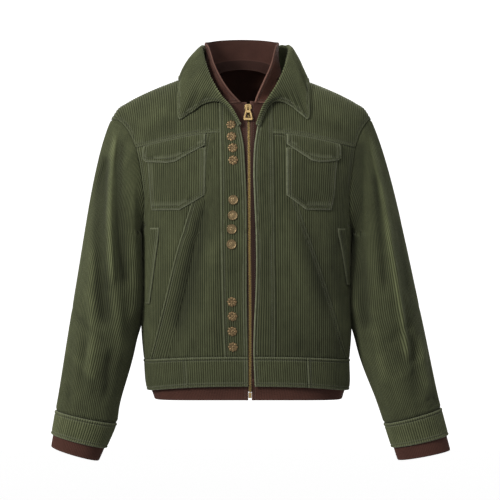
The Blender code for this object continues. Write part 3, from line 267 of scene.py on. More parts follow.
@dataclass(frozen=True)
class Crease:
    """A fold along a line of (x, z) places in the front or the back view."""

    places: tuple[tuple[float, float], ...]
    width: float
    depth: float
    fade: float = 22.0

    def press(self, x: Array, z: Array) -> Array:
        """Measures how far the fold pushes the cloth in.

        Args:
            x: Places across.
            z: Places up.

        Returns:
            The depth at each, in millimetres.
        """
        line = np.array(self.places, float)
        runs = np.linalg.norm(np.diff(line, axis=0), axis=1)
        starts = np.concatenate([[0], np.cumsum(runs)])
        best, where = np.full(np.shape(x), FAR), np.zeros(np.shape(x))
        for start, end, run, before in zip(line[:-1], line[1:], runs, starts):
            way = (end - start) / run
            along = (x - start[0]) * way[0] + (z - start[1]) * way[1]
            held = np.clip(along, 0, run)
            gap = np.hypot(x - start[0] - held * way[0], z - start[1] - held * way[1])
            nearer = gap < best
            best = np.where(nearer, gap, best)
            where = np.where(nearer, before + held, where)
        return self.depth * eased(np.minimum(where, starts[-1] - where) / self.fade) * bell(best, self.width)


def pressed(x: Array, z: Array, dents: Sequence[Fold | Crease]) -> Array:
    """Adds up how far folds and creases push the cloth in at x, z."""
    return sum(dent.press(x, z) for dent in dents)


FRONT_FOLDS = tuple(Fold(*row) for row in (
    (-88, -268, -130, -455, 16, 5.0), (-60, -300, -70, -460, 14, -1.5), (98, -275, 150, -440, 15, 3.5),
    (74, -262, 100, -420, 18, -2.0), (152, -410, 176, -470, 13, -2.0),
))
BACK_FOLDS = tuple(Fold(*row) for row in (
    (-170, -200, -120, -330, 20, 4.0), (160, -190, 104, -340, 20, 4.5), (-60, -330, -86, -470, 18, 3.5),
    (52, -350, 70, -480, 16, 3.0), (-6, -420, 4, -490, 22, -3.0),
))
FRONT_CREASES = tuple(Crease(*row) for row in (
    (((-79, -225), (-97, -297), (-114, -386), (-131, -462)), 5.5, 2.2),
    (((-66, -300), (-72, -380), (-78, -470)), 9, -1.2),
    (((-150, -330), (-160, -400), (-168, -470)), 9, 1.4),
    (((-58, -455), (-56, -505)), 5, 1.3, 12),
    (((-100, -470), (-97, -507)), 5, 1.2, 12),
    (((-128, -476), (-127, -508)), 5, -1.0, 12),
    (((94, -470), (92, -506)), 5, 1.2, 12),
    (((124, -476), (126, -507)), 5, 1.2, 12),
    (((150, -330), (166, -400), (176, -450)), 8, 1.6),
    (((60, -300), (66, -380), (70, -450)), 9, -1.0),
    (((-195, -118), (-150, -92), (-120, -84)), 12, 1.6),
    (((-208, -96), (-170, -72), (-138, -58)), 11, -1.4),
    (((178, -112), (140, -90), (108, -84)), 12, 1.5),
    (((190, -92), (156, -70), (128, -58)), 11, -1.3),
    (((-176, -250), (-160, -300), (-150, -350)), 9, 1.2),
    (((174, -262), (160, -300), (152, -340)), 8, 1.3),
))
BACK_CREASES = tuple(Crease(*row) for row in (
    (((-178, -240), (-140, -262), (-104, -300)), 9, 2.2),
    (((170, -236), (132, -262), (96, -306)), 9, 2.2),
    (((-150, -150), (-96, -172), (-50, -176)), 13, 1.8),
    (((140, -146), (88, -170), (44, -178)), 13, 1.8),
    (((-100, -330), (-118, -400), (-126, -480)), 9, 1.8),
    (((84, -340), (104, -410), (112, -480)), 9, 1.8),
    (((-30, -380), (-36, -440), (-34, -496)), 9, -1.4),
    (((30, -390), (36, -450), (33, -496)), 9, 1.4),
    (((-150, -440), (-156, -504)), 7, 1.5, 14),
    (((142, -440), (148, -504)), 7, 1.5, 14),
))

DENTS = {True: FRONT_FOLDS + FRONT_CREASES, False: BACK_FOLDS + BACK_CREASES}  # by whether on the front


# ---------------------------------------------------------------- the trunk


class TrunkRow(NamedTuple):
    """The trunk's outline at a level."""

    level: float
    centre: float
    half: float
    front: float
    back: float
    drop: float


TRUNK = tuple(TrunkRow(*row) for row in (
    (-304, -3, 172.5, 106, 104, 3), (-277, -3.5, 184.5, 112, 112, 12), (-224, -6, 189, 115, 114, 9),
    (-180, -6.5, 193, 119, 115, 4), (-110, -6.5, 192, 123, 112, 0), (-50, -6.5, 192, 125, 113, 0),
    (0, -6, 195, 124, 117, 0), (42, -6.5, 207, 116, 120, 0), (100, -9, 223, 96, 120, 0),
    (160, -11.5, 233, 90, 116, 0), (205, -14.5, 239.5, 87, 112, 0), (250, -17, 240, 84, 108, 0),
))
RIDGE = (  # the shoulder ridge: reach from the centre, height
    (-40, 34), (0, 42), (40, 34), (80, 14), (117, -1.5), (152, -15), (186, -30), (212, -44), (228, -55),
    (240, -74),
)


ROUNDNESS = 2.8  # how square a level's outline is: 2 is an ellipse


class LaneTable:
    """Distances round a level's outline, which is a squared ellipse, for every ratio of its axes."""

    def __init__(self, roundness: float, widest: float = 0.72, ratios: int = 37, steps: int = 400) -> None:
        """Measures the outlines.

        Args:
            roundness: How square they are.
            widest: The largest ratio of depth to half width.
            ratios: How many are measured.
            steps: The steps round a quarter of one.
        """
        turn = np.linspace(0, math.pi / 2, steps)
        self.shares = np.linspace(0, 1, steps)
        self.ratios = np.linspace(0, widest, ratios)
        x, y = np.sin(turn) ** (2 / roundness), np.cos(turn) ** (2 / roundness)
        self.runs = np.zeros((ratios, steps))
        for k, ratio in enumerate(self.ratios):
            run = np.concatenate([[0], np.cumsum(np.hypot(np.diff(x), ratio * np.diff(y)))])
            self.runs[k] = np.interp(self.shares, x, run)
        self.reaches = np.linspace(0, self.runs.max(), 2 * steps)
        self.back = np.array([np.interp(self.reaches, run, self.shares) for run in self.runs])

    def read(self, table: Array, keys: Array, key: Array, ratio: Array) -> Array:
        """Reads a table between its rows and columns.

        Args:
            table: Ratios by keys.
            keys: The even columns' places.
            key: Where to read across.
            ratio: Where to read down.

        Returns:
            The values.
        """
        u = np.clip(key / keys[-1], 0, 1) * (len(keys) - 1)
        v = np.clip(ratio / self.ratios[-1], 0, 1) * (len(self.ratios) - 1)
        i, k = np.minimum(u.astype(int), len(keys) - 2), np.minimum(v.astype(int), len(self.ratios) - 2)
        u, v = u - i, v - k
        low = table[k, i] * (1 - u) + table[k, i + 1] * u
        high = table[k + 1, i] * (1 - u) + table[k + 1, i + 1] * u
        return low * (1 - v) + high * v

    def run(self, share: Array, ratio: Array) -> Array:
        """The distance to a share, in half widths."""
        return self.read(self.runs, self.shares, *np.broadcast_arrays(share, ratio))

    def share(self, reach: Array, ratio: Array) -> Array:
        """The share at a distance in half widths."""
        return self.read(self.back, self.reaches, *np.broadcast_arrays(reach, ratio))


@dataclass(frozen=True)
class TrunkForm:
    """The jacket's body as one smooth hollow form, before its wales."""

    underarm: float = -283.0
    arch: float = 250.0
    middle: float = 4.0
    roundness: float = ROUNDNESS
    front_arch: float = 3.0
    back_arch: float = 3.4
    curves: dict[str, Curve] = field(default_factory=lambda: {
        name: Curve([row.level for row in TRUNK], [getattr(row, name) for row in TRUNK])
        for name in TrunkRow._fields[1:]
    })
    ridge: Curve = field(default_factory=lambda: Curve(*np.array(RIDGE).T))
    lanes: LaneTable = field(default_factory=lambda: LaneTable(ROUNDNESS))

    def at(self, name: str, level: Array | float) -> Array:
        """A column of the trunk's table at a level."""
        return self.curves[name](level)

    def turn(self, share: Array, front: bool = True) -> Array:
        """The angle round the trunk of a share of the half width."""
        turn = np.sign(share) * np.arcsin(np.clip(np.abs(share), 0, 1) ** (self.roundness / 2))
        return turn if front else math.pi - turn

    def point(self, turn: Array, level: Array) -> Array:
        """Finds points of the outer face.

        Args:
            turn: The angle round the trunk from the front centre towards +X.
            level: The height over the underarm, and above it the climb of the shoulder's arch.

        Returns:
            The points.
        """
        turn, level = np.broadcast_arrays(np.asarray(turn, float), np.asarray(level, float))
        across = self.at("half", level) * signed_power(np.sin(turn), 2 / self.roundness)
        fore = signed_power(np.cos(turn), 2 / self.roundness)
        front = fore >= 0
        x = self.at("centre", level) + across
        low = level <= 0
        power = np.where(front, self.front_arch, self.back_arch)
        lift = np.clip(level / self.arch, 0, 1) * math.pi / 2
        rise = np.sin(lift) ** (2 / power)
        z_low = self.underarm + level - self.at("drop", level) * np.sin(turn) ** 2
        z = np.where(low, z_low, self.underarm + (self.ridge(np.abs(across)) - self.underarm) * rise)
        reach = np.where(low, 1.0, np.maximum(np.cos(lift), 0) ** (2 / power))
        y = self.middle - np.where(front, self.at("front", level), self.at("back", level)) * fore * reach
        ease = np.minimum(1.0, np.abs(fore) * reach * 2)
        y = y + np.where(front, pressed(x, z, DENTS[True]), -pressed(x, z, DENTS[False])) * ease
        return np.stack([x, y, z], axis=-1)

    def normal(self, turn: Array, level: Array) -> Array:
        """Finds the outward directions of the outer face.

        Args:
            turn: The angles.
            level: The levels.

        Returns:
            Unit vectors.
        """
        step, climb = 0.012, 1.5
        level = np.clip(level, TRUNK[0].level + climb, 0.93 * self.arch)
        around = self.point(turn + step, level) - self.point(turn - step, level)
        up = self.point(turn, level + climb) - self.point(turn, level - climb)
        return unit(np.cross(around, up))

    def on(self, share: Array, level: Array, front: bool = True) -> tuple[Array, Array]:
        """The points and outward directions where a share of the half width meets a level."""
        turn = self.turn(share, front)
        return self.point(turn, level), self.normal(turn, level)

    def reach_spot(self, across: Array, z: Array, front: bool = True) -> tuple[Array, Array]:
        """Finds the share and level of a place by its reach from the centre and its height.

        Args:
            across: The signed reach.
            z: The height.
            front: Whether it lies on the front.

        Returns:
            The shares and the levels.
        """
        across, z = np.broadcast_arrays(np.asarray(across, float), np.asarray(z, float))
        power = self.front_arch if front else self.back_arch
        rise = np.clip((z - self.underarm) / (self.ridge(np.abs(across)) - self.underarm), 0, 1)
        high = np.arcsin(rise ** (power / 2)) / (math.pi / 2) * self.arch
        low = np.minimum(z - self.underarm, 0)
        for _ in range(6):
            share = np.clip(np.abs(across) / self.at("half", low), 0, 1)
            low = np.minimum(z - self.underarm + self.at("drop", low) * share**self.roundness, 0)
        level = np.where(z > self.underarm, high, low)
        return np.clip(across / self.at("half", level), -1, 1), level

    def spot(self, x: Array, z: Array, front: bool = True) -> tuple[Array, Array]:
        """Finds the share and level of what shows at x, z.

        Args:
            x: Places across.
            z: Places up.
            front: Whether to look at the front.

        Returns:
            The shares and the levels.
        """
        x, z = np.broadcast_arrays(np.asarray(x, float), np.asarray(z, float))
        level = z - self.underarm
        for _ in range(8):
            share, level = self.reach_spot(x - self.at("centre", level), z, front)
        return share, level

    def flatness(self, level: Array, front: bool) -> Array:
        """How deep the trunk is at a level, against its half width.

        Args:
            level: The levels.
            front: Whether on the front.

        Returns:
            The ratios.
        """
        power = self.front_arch if front else self.back_arch
        lift = np.clip(level / self.arch, 0, 1) * math.pi / 2
        reach = np.maximum(np.cos(lift), 0) ** (2 / power)
        return self.at("front" if front else "back", level) * reach / self.at("half", level)

    def lane(self, share: Array, level: Array, front: bool = True) -> Array:
        """The lane of a place: its distance round the trunk from the centre, with the share's sign."""
        run = self.lanes.run(np.abs(share), self.flatness(level, front))
        return np.sign(share) * run * self.at("half", level)

    def share(self, lane: Array, level: Array, front: bool = True) -> Array:
        """The share of the half width where a lane runs at a level."""
        reach = np.abs(lane) / self.at("half", level)
        return np.sign(lane) * self.lanes.share(reach, self.flatness(level, front))

    def frame(self, x: float, z: float, stand: float = 0.0) -> Matrix:
        """Makes a frame on the front: across, up the cloth, and out of it.

        Args:
            x: Its place across.
            z: Its place up.
            stand: How far it stands off the cloth.

        Returns:
            The frame as a matrix, in metres.
        """
        point, out = (a.reshape(3) for a in self.on(*self.spot(x, z)))
        across = unit(np.array([1.0, 0.0, 0.0]) - out * out[0])
        up = np.cross(out, across)
        origin = (point + out * stand) * MM
        return Matrix([[across[i], up[i], out[i], origin[i]] for i in range(3)] + [[0, 0, 0, 1]])


# ---------------------------------------------------------------- seam lines

WAIST, HEM = -223.0, -277.0  # levels of the waistband's two edges
GAP = 0.3  # between two pieces side by side
LAP = 1.8  # how far a piece runs in under the one sewn over it
WALE = 4.0  # from one wale to the next


# The seams that run down both fronts alike: height, the middle between them, half their distance.
PLACKET_SEAM = np.array(((-510, -0.5, 45.5), (-458, -1.5, 47), (-314, -4, 48), (-135, -6, 48), (-42, -8, 48)))
SLANTED_SEAM = np.array((
    (-520, -2, 182), (-500, -2.5, 176), (-413, -4, 152), (-320, -8, 125), (-239, -10, 98), (-160, -8, 79),
    (-104, -7, 71),
))
FRONT_EDGE = np.array((  # height, the right front's edge, the left front's edge
    (-566, -3, 9), (-493, -4, 6), (-440, -5, 7.5), (-385, -5.5, 10), (-278, -5.5, 10), (-224, -6, 7.5),
    (-160, -9, 6), (-125, -11.5, 8), (-92, -18, 13),
))
EDGE_COLUMN = {Side.RIGHT: 1, Side.LEFT: 2}
VALLEY = (  # height and x of the valley in the right front's wales
    (-515, -148), (-458, -134.6), (-386, -116.5), (-296.6, -98.6), (-225, -80.6), (-160, -70), (-100, -63),
)
YOKE_SEAM = ((0, -103), (70, -104), (185, -125), (199.5, -128))  # reach, height
ARMHOLE = (  # reach and height, from the shoulder point down; the yoke seam meets it at -128
    (239.2, -73.8), (237.5, -73.5), (234, -74.2), (227, -78.5), (219, -87), (212, -97.5), (205.5, -112),
    (199.5, -128), (195.5, -147), (192, -168), (189, -190), (186.5, -212), (185.5, -233), (186.5, -254),
    (190, -272),
)


class Neck(NamedTuple):
    """A station of half the neck seam, with the collar's roll and free edge there."""

    part: str
    reach: float
    height: float
    roll_reach: float
    roll_depth: float
    roll_height: float
    edge_reach: float
    edge_height: float
    edge_lift: float
    wall: float


NECK = tuple(Neck(*row) for row in (
    ("front", 15.5, -92, 13.6, -98, -88.0, 20.2, -93.5, 4.0, 0.6),
    ("front", 24.0, -74, 22.2, -96, -68.5, 28.6, -72.5, 4.2, 0.8),
    ("front", 33.5, -59, 30.8, -92, -52.0, 37.6, -57.0, 4.2, 1.0),
    ("front", 48.0, -42, 42.0, -86, -37.5, 53.4, -47.5, 4.2, 1.5),
    ("front", 58.5, -26, 55.0, -78, -16.3, 75.0, -52.0, 4.2, 1.8),
    ("front", 67.0, -11, 65.0, -67, 5.0, 98.0, -68.0, 4.2, 1.8),
    ("front", 74.0, 2, 72.6, -53, 28.0, 117.0, -77.5, 4.2, 1.8),
    ("below", 79.0, -6, 77.6, -33, 48.0, 119.5, -42.0, 5.0, 1.8),
    ("below", 81.0, -2.0, 79.4, -21, 55.5, 119.0, -18.0, 5.0, 1.8),
    ("below", 81.8, -0.6, 80.5, -11, 60.0, 118.6, -4.5, 5.0, 1.8),
    ("ridge", 82.0, 0, 81.0, -4, 62.0, 118.0, 0, 4.0, 1.8),
    ("back", 73.0, -2.5, 77.0, 28, 67.5, 113.0, -4, 4.5, 1.8),
    ("back", 60.0, -4.0, 66.0, 44, 69.0, 97.0, -13, 6.0, 1.8),
    ("back", 42.0, -6.5, 48.0, 57, 70.0, 73.0, -28, 8.0, 1.8),
    ("back", 22.0, -9.5, 25.0, 65, 71.0, 38.0, -44, 10.0, 1.8),
    ("back", 0.0, -11, 0.0, 68, 71.5, 0.0, -54, 11.0, 1.8),
))
RIDGE_STATION = 10
COLLAR_CENTRE = Curve([-125, -92, -66, -40], [-1.5, -2.5, -4.5, -8])
EDGE_CENTRE = Curve([0, 18, 53, 98, 119], [-10, -2.5, -6.8, -9.0, -11.5])


class Line:
    """A line on one half of the trunk, by lane (positive outwards) and level."""

    def __init__(self, lanes: Array, levels: Array) -> None:
        """Keeps the line's points: distances outwards from the centre, and levels."""
        self.lanes, self.levels = np.asarray(lanes, float), np.asarray(levels, float)

    def lane(self, level: Array) -> Array:
        """Where the line is at a level."""
        order = np.argsort(self.levels, kind="stable")
        return np.interp(level, self.levels[order], self.lanes[order])

    def level(self, lane: Array) -> Array:
        """How high the line is on a lane."""
        order = np.argsort(self.lanes, kind="stable")
        return np.interp(lane, self.lanes[order], self.levels[order])


@dataclass(frozen=True)
class Cut:
    """The seam lines of the cut, laid on the trunk."""

    trunk: TrunkForm

    def front_line(self, side: Side, xs: Array, zs: Array, front: bool = True) -> Line:
        """Lays a line of x, z places on the trunk's front, or on its back."""
        share, level = self.trunk.spot(np.asarray(xs, float), np.asarray(zs, float), front)
        return Line(side.value * self.trunk.lane(share, level, front), level)

    def seam(self, side: Side, table: Array, shift: float = 0.0) -> Line:
        """Lays a seam of both fronts.

        Args:
            side: Which half.
            table: The seam's rows.
            shift: How far outwards to move it.

        Returns:
            The line.
        """
        height, centre, half = table.T
        z = np.linspace(height[0], height[-1], 60)
        half = Curve(height, half)(z) + shift
        return self.front_line(side, Curve(height, centre)(z) + side.value * half, z)

    def front_edge(self, side: Side) -> Line:
        """The front's free edge."""
        z = np.linspace(FRONT_EDGE[0, 0], FRONT_EDGE[-1, 0], 80)
        return self.front_line(side, Curve(FRONT_EDGE[:, 0], FRONT_EDGE[:, EDGE_COLUMN[side]])(z), z)

    def yoke(self, side: Side, shift: float) -> Line:
        """Finds the yoke seam.

        Args:
            side: Which half.
            shift: How far down to move it, or up if it is negative.

        Returns:
            The line.
        """
        reach = np.linspace(0, 199.5, 60)
        z = Curve(*np.array(YOKE_SEAM).T)(reach) + shift
        share, level = self.trunk.reach_spot(side.value * reach, z)
        return Line(side.value * self.trunk.lane(share, level), level)

    def armhole(self, side: Side, front: bool, first: int = 0, last: int | None = None) -> Line:
        """The armhole, or a stretch of it, on the front or the back, ending at the underarm.

        Args:
            side: Which half.
            front: Whether on the front.
            first: The first row.
            last: The row after the last one, or None to run on to the underarm.

        Returns:
            The line.
        """
        rows = np.array(ARMHOLE[first:last])
        share, level = self.trunk.reach_spot(side.value * rows[:, 0], rows[:, 1], front)
        share = np.abs(share)
        if last is None:
            share, level = np.append(share, 1.0), np.append(level, 0.0)
        if first == 0:
            share, level = np.concatenate([[1.0], share]), np.concatenate([[self.trunk.arch], level])
        return Line(self.trunk.lane(share, level, front), level)

    def side_seam(self, front: bool) -> Line:
        """The side seam under the arm."""
        level = np.linspace(TRUNK[0].level, 0, 40)
        return Line(self.trunk.lane(np.ones(40), level, front), level)

    def neck(self, side: Side, front: bool) -> Line:
        """Finds the neck seam from the front end to the ridge, or from the ridge to the back centre.

        Args:
            side: Which half.
            front: Whether on the front.

        Returns:
            The line.
        """
        lanes, levels = [], []
        top = float(self.trunk.at("centre", self.trunk.arch))
        for row in NECK[: RIDGE_STATION + 1] if front else NECK[RIDGE_STATION:]:
            x = float(COLLAR_CENTRE(row.height if row.part == "front" else 0)) + side.value * row.reach
            height = row.height if row.part == "front" else float(self.trunk.ridge(abs(x - top))) + row.height
            share, level = self.trunk.spot(x, height, front)
            if row.part == "ridge":
                level = np.array(self.trunk.arch)
                share = (x - top) / self.trunk.at("half", level)
            lanes.append(float(side.value * self.trunk.lane(share, level, front)))
            levels.append(float(level))
        return Line(lanes, levels)


# ---------------------------------------------------------------- cloth


GROOVE, RUBBED_AND_LIT = 0.7, 2.1  # the half widths of a stitch's groove and of an edge's lightened strip: rubbed pile with a painted highlight


@dataclass(frozen=True)
class Edge:
    """How one edge of a piece is finished.

    dip is how far it sinks at the rim (negative: rises), over reach. stitches are the topstitch
    lines' distances from it, puff how far the cloth swells between it and the first of them, and
    the last field how much the edge is painted lighter: rubbed pile with a painted highlight.
    """

    dip: float = 0.0
    reach: float = 1.5
    stitches: tuple[float, ...] = ()
    puff: float = 0.0
    wear: float = 0.0


class Finish(Enum):
    """The ways an edge is finished."""

    JOINED = Edge()
    # an edge's lightening in these finishes stands for rubbed pile and a painted highlight on the rolled edge
    SEWN = Edge(dip=0.9, reach=1.8, wear=0.25)
    SUNK = Edge(dip=1.9, reach=3.4)
    FOLDED = Edge(dip=0.75, reach=1.0, stitches=(5.5,), puff=0.55, wear=1.0)
    DOUBLE = Edge(dip=0.75, reach=1.0, stitches=(2.2, 7.6), puff=0.45, wear=0.8)
    LAPPED = Edge(dip=-0.2, reach=0.8, stitches=(5.5,), puff=0.7, wear=0.45)
    PLAIN_FOLD = Edge(dip=0.6, reach=1.0, puff=0.0, wear=0.5)


class Edges(NamedTuple):
    """The finishes of a piece's four edges: first and last row, first and last column."""

    low: Finish = Finish.JOINED
    high: Finish = Finish.JOINED
    near: Finish = Finish.JOINED
    far: Finish = Finish.JOINED


ALL_FOLDED = Edges(*[Finish.PLAIN_FOLD] * 4)


@dataclass(frozen=True)
class Weave:
    """The relief of a cloth: its pitch, its height, and where its columns stand in each wale."""

    pitch: float
    height: float
    places: tuple[float, ...]
    power: float = 2.2
    step: float = 8.0

    def columns(self, length: float) -> Array:
        """Places columns across a length.

        Args:
            length: The length in millimetres.

        Returns:
            Their places, counted in wales.
        """
        count = max(length / self.pitch, 1.0)
        places = (k + p for k in range(math.ceil(count)) for p in self.places)
        return np.array([*(at for at in places if at < count - 0.08), count])

    def whole(self, length: float) -> Array:
        """Places columns round a tube, with a whole number of wales."""
        count = max(3, round(length / self.pitch))
        return np.array([k + p for k in range(count) for p in self.places])

    def rise(self, wale: Array) -> Array:
        """How high the relief stands at a place, from 0 to 1."""
        return 1 - np.abs(2 * (wale % 1.0) - 1) ** self.power


CORDUROY = Weave(WALE, 1.15, (0.0, 0.17, 0.5, 0.83))
RIB = Weave(3.0, 0.45, (0.0, 0.34, 0.67), 1.6, 6.0)
BRUSHED = Weave(5.0, 0.0, (0.0,), 2.0, 6.0)
CORDUROY_WALL, BROWN_WALL = 1.5, 1.3


MARKS = ("ridge", "wear", "inside", "tone")  # what the finishes read from a cloth's points
WHOLE = (1.0, 1.0, 1.0, 1.0)  # all of every edge's finish
STITCH_CLEAR = 1.6  # how far a stitch line stays from the other edges


def quads(grid: Array, flip: bool = False) -> list[tuple[int, ...]]:
    """Makes the faces between the rows and columns of a grid.

    Args:
        grid: The points' numbers.
        flip: Whether the faces look the other way.

    Returns:
        The faces.
    """
    corners = [grid[:-1, :-1], grid[:-1, 1:], grid[1:, 1:], grid[1:, :-1]]
    order = (0, 3, 2, 1) if flip else (0, 1, 2, 3)
    return [tuple(face) for face in np.stack([corners[k] for k in order], 2).reshape(-1, 4).tolist()]


def closed(grid: Array) -> Array:
    """A grid of point numbers with its first column again at the end, to close a tube."""
    return np.c_[grid, grid[:, :1]]


def place(name: str, points: Array, faces: Sequence[Sequence[int]], material: bpy.types.Material,
          ) -> bpy.types.Object:
    """Makes a smooth mesh object and puts it in the scene.

    Args:
        name: Its name.
        points: Its points, in metres.
        faces: Their numbers, face by face.
        material: Its finish.

    Returns:
        The object.
    """
    mesh = bpy.data.meshes.new(name)
    mesh.from_pydata(np.asarray(points).tolist(), [], faces)
    mesh.shade_smooth()
    mesh.materials.append(material)
    obj = bpy.data.objects.new(name, mesh)
    bpy.context.scene.collection.objects.link(obj)
    return obj


@dataclass
class Cloth:
    """A piece of cloth: closed walls with wales, sunk or folded edges and lines for the stitches."""

    name: str
    weave: Weave
    wall: float
    shade: Callable[[Array], Array] | None = None
    points: list[Array] = field(default_factory=list)
    marks: dict[str, list[Array]] = field(default_factory=lambda: {name: [] for name in (*MARKS, "grain")})
    faces: list[tuple[int, ...]] = field(default_factory=list)
    rims: list[int] = field(default_factory=list)
    seams: list[tuple[Array, Array]] = field(default_factory=list)
    area: float = 0.0
    chart: list[tuple[float, float, float, float]] = field(default_factory=list)

    @staticmethod
    def slant(points: Array, row: int, inner: int) -> Array:
        """Finds how squarely the columns end on an edge.

        Args:
            points: The grid.
            row: The edge's row.
            inner: A row inside it.

        Returns:
            The sine of the angle at each column.
        """
        along = np.gradient(points[row], axis=0)
        down = points[row] - points[inner]
        size = np.linalg.norm(along, axis=1) * np.linalg.norm(down, axis=1)
        return np.clip(np.linalg.norm(np.cross(along, down), axis=1) / np.maximum(size, 1e-9), 0.15, 1)

    def distances(self, points: Array) -> list[Array]:
        """Measures how far each point is from the four edges, square to them.

        Args:
            points: The grid.

        Returns:
            The distances from the low, high, near and far edge.
        """
        up, across = run_length(points, 0), run_length(points, 1)
        turned = points.transpose(1, 0, 2)
        inner, side = min(3, len(points) - 1), min(3, len(turned) - 1)
        return [
            up * self.slant(points, 0, inner),
            (up[-1] - up) * self.slant(points, -1, -1 - inner),
            across * self.slant(turned, 0, side)[:, None],
            (across[:, -1:] - across) * self.slant(turned, -1, -1 - side)[:, None],
        ]

    def relief(self, away: list[Array], edges: Edges, fades: Sequence[Array | float], wale: Array,
               ) -> tuple[Array, Array, Array]:
        """Works out the relief over the smooth cloth.

        Args:
            away: The distances from the four edges.
            edges: Their finishes.
            fades: How much of each finish there is, from 0 to 1.
            wale: The columns' places in wales.

        Returns:
            The heights, how much of each is wale, and how much the edges are painted lighter: rubbed pile with
            a painted highlight.
        """
        shape = away[0].shape
        sink, flat, wear = np.zeros(shape), np.ones(shape), np.zeros(shape)
        for distance, finish, fade in zip(away, edges, fades):
            edge, start = finish.value, 0.0
            if finish is Finish.JOINED:
                continue
            sink -= fade * edge.dip * bell(distance, edge.reach)
            flat *= 1 - 0.8 * fade * bell(distance, GROOVE)
            # edges, and a narrow strip beside each stitch line, painted lighter: rubbed pile with a painted
            # highlight
            wear = np.maximum(wear, fade * edge.wear * bell(distance, RUBBED_AND_LIT))
            for stitch in edge.stitches:
                gap = fade * bell(distance - stitch, GROOVE)
                sink -= 0.5 * gap
                flat *= 1 - 0.45 * gap
                share = np.clip((distance - start) / (stitch - start), 0, 1)
                sink += fade * edge.puff * np.maximum(np.sin(math.pi * share), 0) ** 0.8 * (distance < stitch)
                wear = np.maximum(wear, 0.35 * fade * edge.wear * (np.abs(distance - stitch - 1.2) < 0.9))
                start = stitch
        rise = self.weave.rise(wale)[None, :] * flat
        return sink + self.weave.height * (rise - 0.35), rise, wear

    def lay(self, points: Array, out: Array, wale: Array, edges: Edges, ring: bool = False,
            wall: Array | float | None = None, fades: Sequence[Array | float] = WHOLE,
            corner: tuple[float, float, float] | None = None, tone: Array | float = 0.0) -> None:
        """Adds a stretch of cloth.

        Args:
            points: Its smooth outer face, rows by columns by 3.
            out: The unit normals there.
            wale: Each column's place, counted in wales.
            edges: The finishes of its edges.
            ring: Whether its columns close round a tube.
            wall: The thickness, if it isn't the piece's own.
            fades: How much of each edge's finish there is, as one number or by point.
            corner: Where it lies in the flat cut: its near side, far side and foot.
            tone: How much lighter it is painted, or below 0 how much darker, as one number or by point; mostly
                painted light and shade on folds and pieces.
        """
        rows, count = shape = points.shape[:2]
        away = self.distances(points)
        if ring:
            away[2:] = [np.full(shape, FAR)] * 2
        height, rise, wear = self.relief(away, edges, fades, wale)
        skin = points + out * height[..., None]
        self.note_seams(skin, out, away, edges, fades)
        inner = [c for c in range(count) if wale[c] % 1.0 < 1e-6 or (c == count - 1 and not ring)]
        thick = np.broadcast_to(self.wall if wall is None else wall, shape)[..., None]
        back = (points - out * (thick - np.minimum(height, 0)[..., None] * 0.5))[:, inner]
        up = run_length(points, 0)
        grain = np.stack([np.broadcast_to(wale * self.weave.pitch, shape), up, np.zeros(shape)], axis=2)
        tone = np.broadcast_to(tone, shape)
        under = np.ones((rows, len(inner)))
        self.join(sum(len(p) for p in self.points), rows, count, inner, ring)
        for store, top, bottom in (
            (self.points, skin, back),
            (self.marks["ridge"], rise, under * 0.4),
            (self.marks["wear"], wear, wear[:, inner] * 0.5),
            (self.marks["inside"], np.zeros(shape), under),
            (self.marks["tone"], tone, tone[:, inner]),
            (self.marks["grain"], grain, grain[:, inner]),
        ):
            store += [part.reshape(-1, *part.shape[2:]) for part in (top, bottom)]
        middle = np.cross(points[1:, 1:] - points[:-1, :-1], points[1:, :-1] - points[:-1, 1:])
        self.area += float(np.linalg.norm(middle, axis=2).sum()) / 2
        near, far, foot = corner or (0.0, float(run_length(points, 1)[:, -1].max()), 0.0)
        self.chart.append((near, far, foot, foot + float(up[-1].max())))

    @property
    def flat(self) -> tuple[float, float]:
        """The width and length of the flat cut, in millimetres."""
        near, far, foot, top = np.array(self.chart).T
        return float(far.max() - near.min()), float(top.max() - foot.min())

    def join(self, base: int, rows: int, count: int, inner: list[int], ring: bool) -> None:
        """Makes the faces of a stretch: two skins, and rims that close them.

        Args:
            base: The number of its first point.
            rows: Its rows.
            count: The outer skin's columns.
            inner: Which of them the inner skin has too.
            ring: Whether the columns close round a tube.
        """
        width, last = len(inner), rows - 1
        over = base + np.arange(rows * count).reshape(rows, count)
        below = base + rows * count + np.arange(rows * width).reshape(rows, width)
        stops = [*inner, count] if ring else inner
        if ring:
            over, below = closed(over), closed(below)
        self.faces += quads(over) + quads(below, flip=True)
        skins = len(self.faces)
        for k, (start, stop) in enumerate(zip(stops[:-1], stops[1:])):
            for r in (0, last):
                rim = (*over[r, start:stop + 1].tolist(), int(below[r, k + 1]), int(below[r, k]))
                self.faces.append(rim if r else rim[::-1])
        if not ring:
            for column in (0, -1):
                self.faces += quads(np.c_[over[:, column], below[:, column]], flip=column == 0)
        self.rims += range(skins, len(self.faces))

